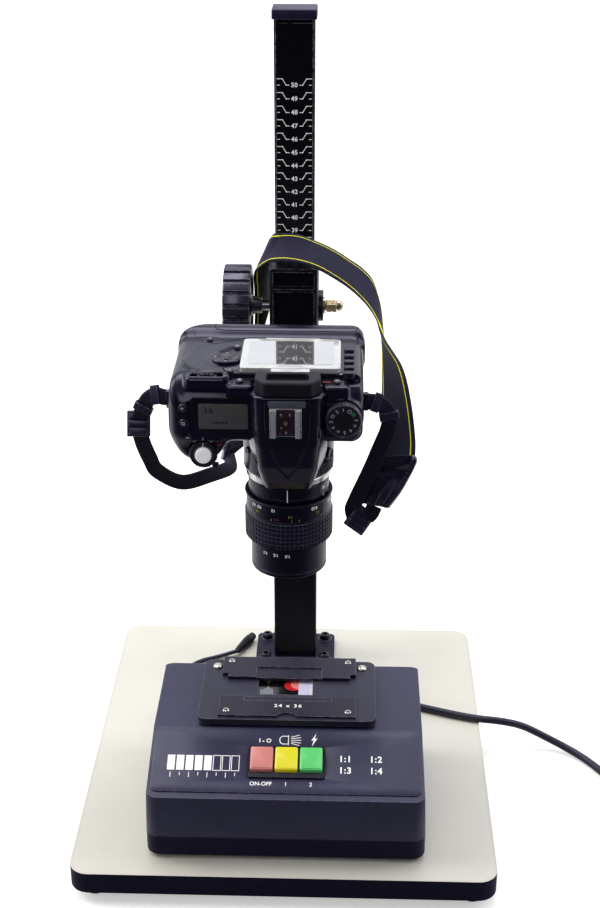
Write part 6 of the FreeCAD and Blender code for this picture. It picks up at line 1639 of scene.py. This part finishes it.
# Both edges of the strap at each section, from its left tab up round the housing to its right tab:
# across from the middle of the board, back from the column's face, up from the carriage's foot.
STRAP_BASE = np.array((0, 112.5, 318))
STRAP_EDGES = [
    ((-51, -97, -49.5), (-43, -91.5, -48)), ((-50, -93, -45), (-32, -82, -42)),
    ((-49, -90.5, -40), (-20, -72.5, -36)), ((-42, -68.5, -18), (-22, -38.5, -12)),
    ((-32, -34.5, 4), (-27, 0.5, 8)), ((-31, 1.5, 27), (-20.5, 34, 27)),
    ((-31, 0, 50), (-20.5, 33, 52)), ((-31, -7, 60), (-20, 22, 80)),
    ((-29.5, -14.5, 68.5), (-15.5, -2.5, 95.7)), ((-20.2, -20.5, 78.2), (-8.7, -4, 96.6)),
    ((-10.2, -25.5, 81.6), (-1, -4, 96.4)), ((-0.3, -28.5, 82), (6, -4.5, 95.2)),
    ((10.3, -30.5, 80.4), (14, -6, 92.4)), ((20.1, -32.5, 77.2), (23, -8.5, 89.4)),
    ((29.9, -36.5, 72.9), (32.6, -13, 85.9)), ((40.5, -43.5, 68.2), (42.5, -21.5, 82.2)),
    ((49, -53, 64), (52.3, -31, 78.4)), ((56.5, -65, 59.8), (60, -43, 73)),
    ((62.6, -81, 55.4), (64.5, -58, 62)), ((67.4, -106.5, 50.8), (66.4, -78, 46)),
    ((78.9, -140.5, 45), (66.6, -106.5, 29)), ((85, -156.5, 26), (66.4, -128.5, 14)),
    ((88.5, -170.5, 1.8), (67, -144.5, -8.3)), ((87.9, -178.5, -12), (60, -158.5, -25)),
    ((79, -179.5, -32), (57, -168, -38)), ((70.5, -180.5, -45), (55, -170.5, -47)),
]
LEFT_WEBBING = [
    (-47, -94.5, -48.5), (-44.6, -107.5, -51), (-58, -122.5, -50.4), (-77, -137.5, -49),
    (-92.5, -150.5, -34), (-97, -156.5, -21), (-101, -162.5, -4), (-102, -167.5, 12),
    (-98, -169.5, 23.7), (-94, -170.5, 31), (-89, -171.5, 34.5), (-83.8, -172.5, 33.5), (-80.9, -172.5, 33.1),
]
RIGHT_WEBBING = [
    (48.2, -173.5, -58), (46.2, -174, -50), (48.6, -174.5, -42.4), (57.9, -175, -19.4),
    (64.4, -175, -1.7), (69.6, -174.5, 12.5), (70, -173.5, 22), (66.5, -172.7, 28.6), (61.6, -172.5, 31.2),
    (58, -172.5, 31.8), (55.3, -172.5, 32),
]
RIGHT_TAIL = [(61.5, -175.5, -46.5), (59.5, -175, -52), (56.5, -174.5, -56)]
STRAP_FACING = np.array((0, -0.9, 0.43))
STRAP_THICK, WEBBING_THICK, WEBBING_WIDE = 2.2, 1.6, 11.0


def at_strap(places):
    return STRAP_BASE + np.array(places, float)


def woven(name, dark, pale, rib, **sockets):
    """Woven band: ribs across it and threads along it, laid out in its own millimetres."""
    finish = Finish(name, Roughness=0.75, Sheen_Weight=0.15, Sheen_Roughness=0.4, Specular_IOR_Level=0.25,
                    **sockets)
    across, along, _ = finish.split(finish.add("UVMap", uv_map="UVMap").outputs[0])
    aslant = finish.maths("ADD", along, finish.times(across, 0.35))
    ribs = finish.maths("SINE", finish.times(aslant, math.tau / (rib * MM)))
    threads = finish.maths("SINE", finish.times(across, math.tau / (0.8 * MM)))
    cloth = finish.times(finish.ramp(ribs, -1, 1, 0.25, 1), finish.ramp(threads, -1, 1, 0.6, 1))
    worn = finish.patches(9.0, 5.0, 0.7, 0.55, 1.0)
    finish.link(Base_Color=finish.mix(finish.times(cloth, worn), dark, pale), Normal=finish.bump(cloth, 0.22))
    return finish.material


def ribbon(name, edges, thick, material, per=8, across=8, replaces=(), relief=None, lift=0.0,
           share=(0.0, 1.0)):
    """A soft flat strip through pairs of edge points, its rims thinner than its middle.
    It covers a share of their width, and relief(u, v) adds to its front."""
    pairs = np.array(edges, float)
    left, right = curve_through(pairs[:, 0], per), curve_through(pairs[:, 1], per)
    left, right = left + (right - left) * share[0], left + (right - left) * share[1]
    middle = (left + right) / 2
    onward = np.gradient(middle, axis=0)
    normal = np.cross(right - left, onward)
    normal /= np.linalg.norm(normal, axis=1)[:, None]
    along = np.concatenate([[0], np.cumsum(np.linalg.norm(np.diff(middle, axis=0), axis=1))])
    wide = np.linalg.norm(right - left, axis=1)
    count = len(middle)
    places = np.linspace(0, 1, across + 1)
    points, flat = [], []
    for i in range(count):
        for side in (1, -1):
            for u in (places if side > 0 else places[::-1]):
                rim = min(u, 1 - u) * wide[i]
                half = thick / 2 * min(1.0, 0.45 + 0.55 * math.sqrt(min(rim / 1.2, 1.0))) + lift
                if relief and side > 0:
                    half += relief(u, i / (count - 1))
                points.append(left[i] + (right[i] - left[i]) * u + side * normal[i] * half)
                flat.append((u * wide[i] * MM, along[i] * MM))
    ring = 2 * (across + 1)
    faces = [(i * ring + k, i * ring + (k + 1) % ring, (i + 1) * ring + (k + 1) % ring, (i + 1) * ring + k)
             for i in range(count - 1) for k in range(ring)]
    faces += [tuple(reversed(range(ring))), tuple((count - 1) * ring + k for k in range(ring))]
    obj = new_object(name, points, faces, "carriage", material, replaces)
    layer = obj.data.uv_layers.new(name="UVMap")
    for loop in obj.data.loops:
        layer.data[loop.index].uv = flat[loop.vertex_index]
    return left, right, normal


def webbing_edges(line):
    """The two edges of a webbing whose middle runs along a line."""
    points = at_strap(line)
    edges = []
    for i, point in enumerate(points):
        onward = points[min(i + 1, len(points) - 1)] - points[max(i - 1, 0)]
        across = np.cross(onward, STRAP_FACING)
        across *= WEBBING_WIDE / 2 / np.linalg.norm(across)
        edges.append((point - across, point + across))
    return edges


def make_strap():
    cloth = woven("strap_cloth", rgb(12, 10, 28), rgb(48, 45, 80), 1.25)
    edges = at_strap(STRAP_EDGES)[1:-2]
    ribbon("strap_cloth_band", edges, STRAP_THICK, cloth, 10, 16, ("strap_band",))
    # the yellow stripes have a painted glow
    yellow = woven("strap_stripe", rgb(240, 230, 20), rgb(255, 250, 60), 1.1,
                   Emission_Color=rgb(240, 225, 40), Emission_Strength=0.3)
    for side, low in (("left", 0.07), ("right", 0.88)):
        ribbon("strap_stripe_" + side, edges, STRAP_THICK, yellow, 10, 2, lift=0.32,
               share=(low, low + 0.05))


leather = moulded("strap_leather", rgb(34, 32, 50), rgb(22, 20, 34), (0.14, 0.3), 7, 0.9, 0.1, 1.0,
                  rgb(130, 128, 144), Specular_IOR_Level=0.9, Coat_Weight=0.8, Coat_Roughness=0.12)
thread = moulded("strap_thread", rgb(70, 68, 84), rgb(52, 50, 64), (0.6, 0.75), 3, 0.3, 0.02)
slider_plastic = moulded("slider_plastic", rgb(42, 40, 60), rgb(33, 31, 49), (0.26, 0.4), 6, 0.5, 0.03, 0.6,
                         rgb(150, 150, 165), Specular_IOR_Level=0.6)


def make_tabs():
    edges = at_strap(STRAP_EDGES)

    def folds(u, v):
        """A cross seam, and pleats that run in to the narrow end."""
        seam = -1.0 * math.exp(-((v - 0.42) / 0.05) ** 2)
        gather = max(0.0, v - 0.45) * 1.9
        return seam + gather * (math.cos(math.tau * 2.2 * (u - 0.5)) * 0.9) + 0.35 * math.sin(9 * v + 4 * u)

    def widen(pairs, extra):
        out = []
        for a, b in pairs:
            way = (b - a) / np.linalg.norm(b - a)
            out.append((a - way * extra, b + way * extra))
        return out
    ends = {"right": [edges[-4] * 0.35 + edges[-3] * 0.65, edges[-3], edges[-2], edges[-1]],
            "left": [edges[3] * 0.2 + edges[2] * 0.8, edges[2], edges[1], edges[0]]}
    stitches = Shape()
    for name, pairs in ends.items():
        low, high, normal = ribbon("strap_tab_" + name, widen(pairs, 1.2), 2 * STRAP_THICK, leather,
                                   14, 18, relief=folds)
        for line, other in ((low, high), (high, low)):
            inward = (other - line) / np.linalg.norm(other - line, axis=1)[:, None]
            for i in range(1, len(line) - 3, 2):
                for side in (1, -1):
                    a, b = (line[k] + inward[k] * 1.8 + normal[k] * side * 2.3 for k in (i, i + 1))
                    stitches.tube([a, (a + b) / 2 + normal[i] * side * 0.15, b], 0.28, 6)
    stitches.make("strap_stitches", "carriage", "strap_fabric", thread, None)


def slider(name, place, turn, tilt):
    """A plastic slider: a frame with a middle bar, one wide bar in front and a lip behind."""
    shape = Shape()
    for low, high, edge in (((-8, -1.9, -9), (-5.9, 1.9, 9), 0.9), ((5.9, -1.9, -9), (8, 1.9, 9), 0.9),
                            ((-8, -1.9, 6.4), (8, 1.9, 9), 0.9), ((-8, -1.9, -9), (8, 1.9, -6.2), 0.9),
                            ((-7, -2.9, -1.9), (7, 0.6, 2.3), 0.8),
                            ((-6.4, -2.6, -7.4), (6.4, -1.2, -2.9), 0.5),
                            ((-6.4, 0.2, -7.5), (6.4, 1.3, 7.5), 0.4),
                            ((-6.4, -2.3, 3.0), (6.4, -0.9, 7.0), 0.5)):
        shape.block(low, high, edge, 3)
    matrix = Matrix.Translation(place) @ Matrix.Rotation(math.radians(turn), 4, "Y") @ Matrix.Rotation(
        math.radians(tilt), 4, "X")
    bmesh.ops.transform(shape.bm, matrix=matrix, verts=shape.bm.verts)
    shape.make(name, "carriage", "webbing_fabric", slider_plastic, 40)


def keeper(shape, place, way):
    """A flat loop of plastic round the webbing."""
    wide, tall, long, thick = 13.4, 4.6, 5.2, 1.0
    way = Vector(way).normalized()
    side = way.cross(Vector(STRAP_FACING)).normalized()
    shape.loft([(rounded(wide - 2 * inset, tall - 2 * inset, 1.0, (0, 0), 3), end * long / 2)
                for inset, end in ((thick, -1), (0, -1), (0, 1), (thick, 1))],
               (place, side, side.cross(way)), closed=True)


def make_webbing():
    web = woven("webbing_cloth", rgb(11, 10, 22), rgb(38, 36, 60), 1.5)
    for name, line, replaces in (("left", LEFT_WEBBING, ("strap_ends",)), ("right", RIGHT_WEBBING, ()),
                                 ("right_tail", RIGHT_TAIL, ())):
        ribbon("webbing_" + name, webbing_edges(line), WEBBING_THICK, web,
               replaces=replaces)
    slider("slider_left", (-102, -55, 329), 0, -20)
    slider("slider_right", (51.5, -62, 260.5), 38, -22)
    loops = Shape()
    for line, index in ((LEFT_WEBBING, 8), (LEFT_WEBBING, 10), (RIGHT_WEBBING, 6), (RIGHT_WEBBING, 8)):
        points = at_strap(line)
        keeper(loops, points[index], points[index + 1] - points[index - 1])
    loops.make("webbing_keepers", "carriage", "webbing_fabric", slider_plastic, 35)


make_strap()
make_tabs()
make_webbing()

bpy.context.view_layer.update()
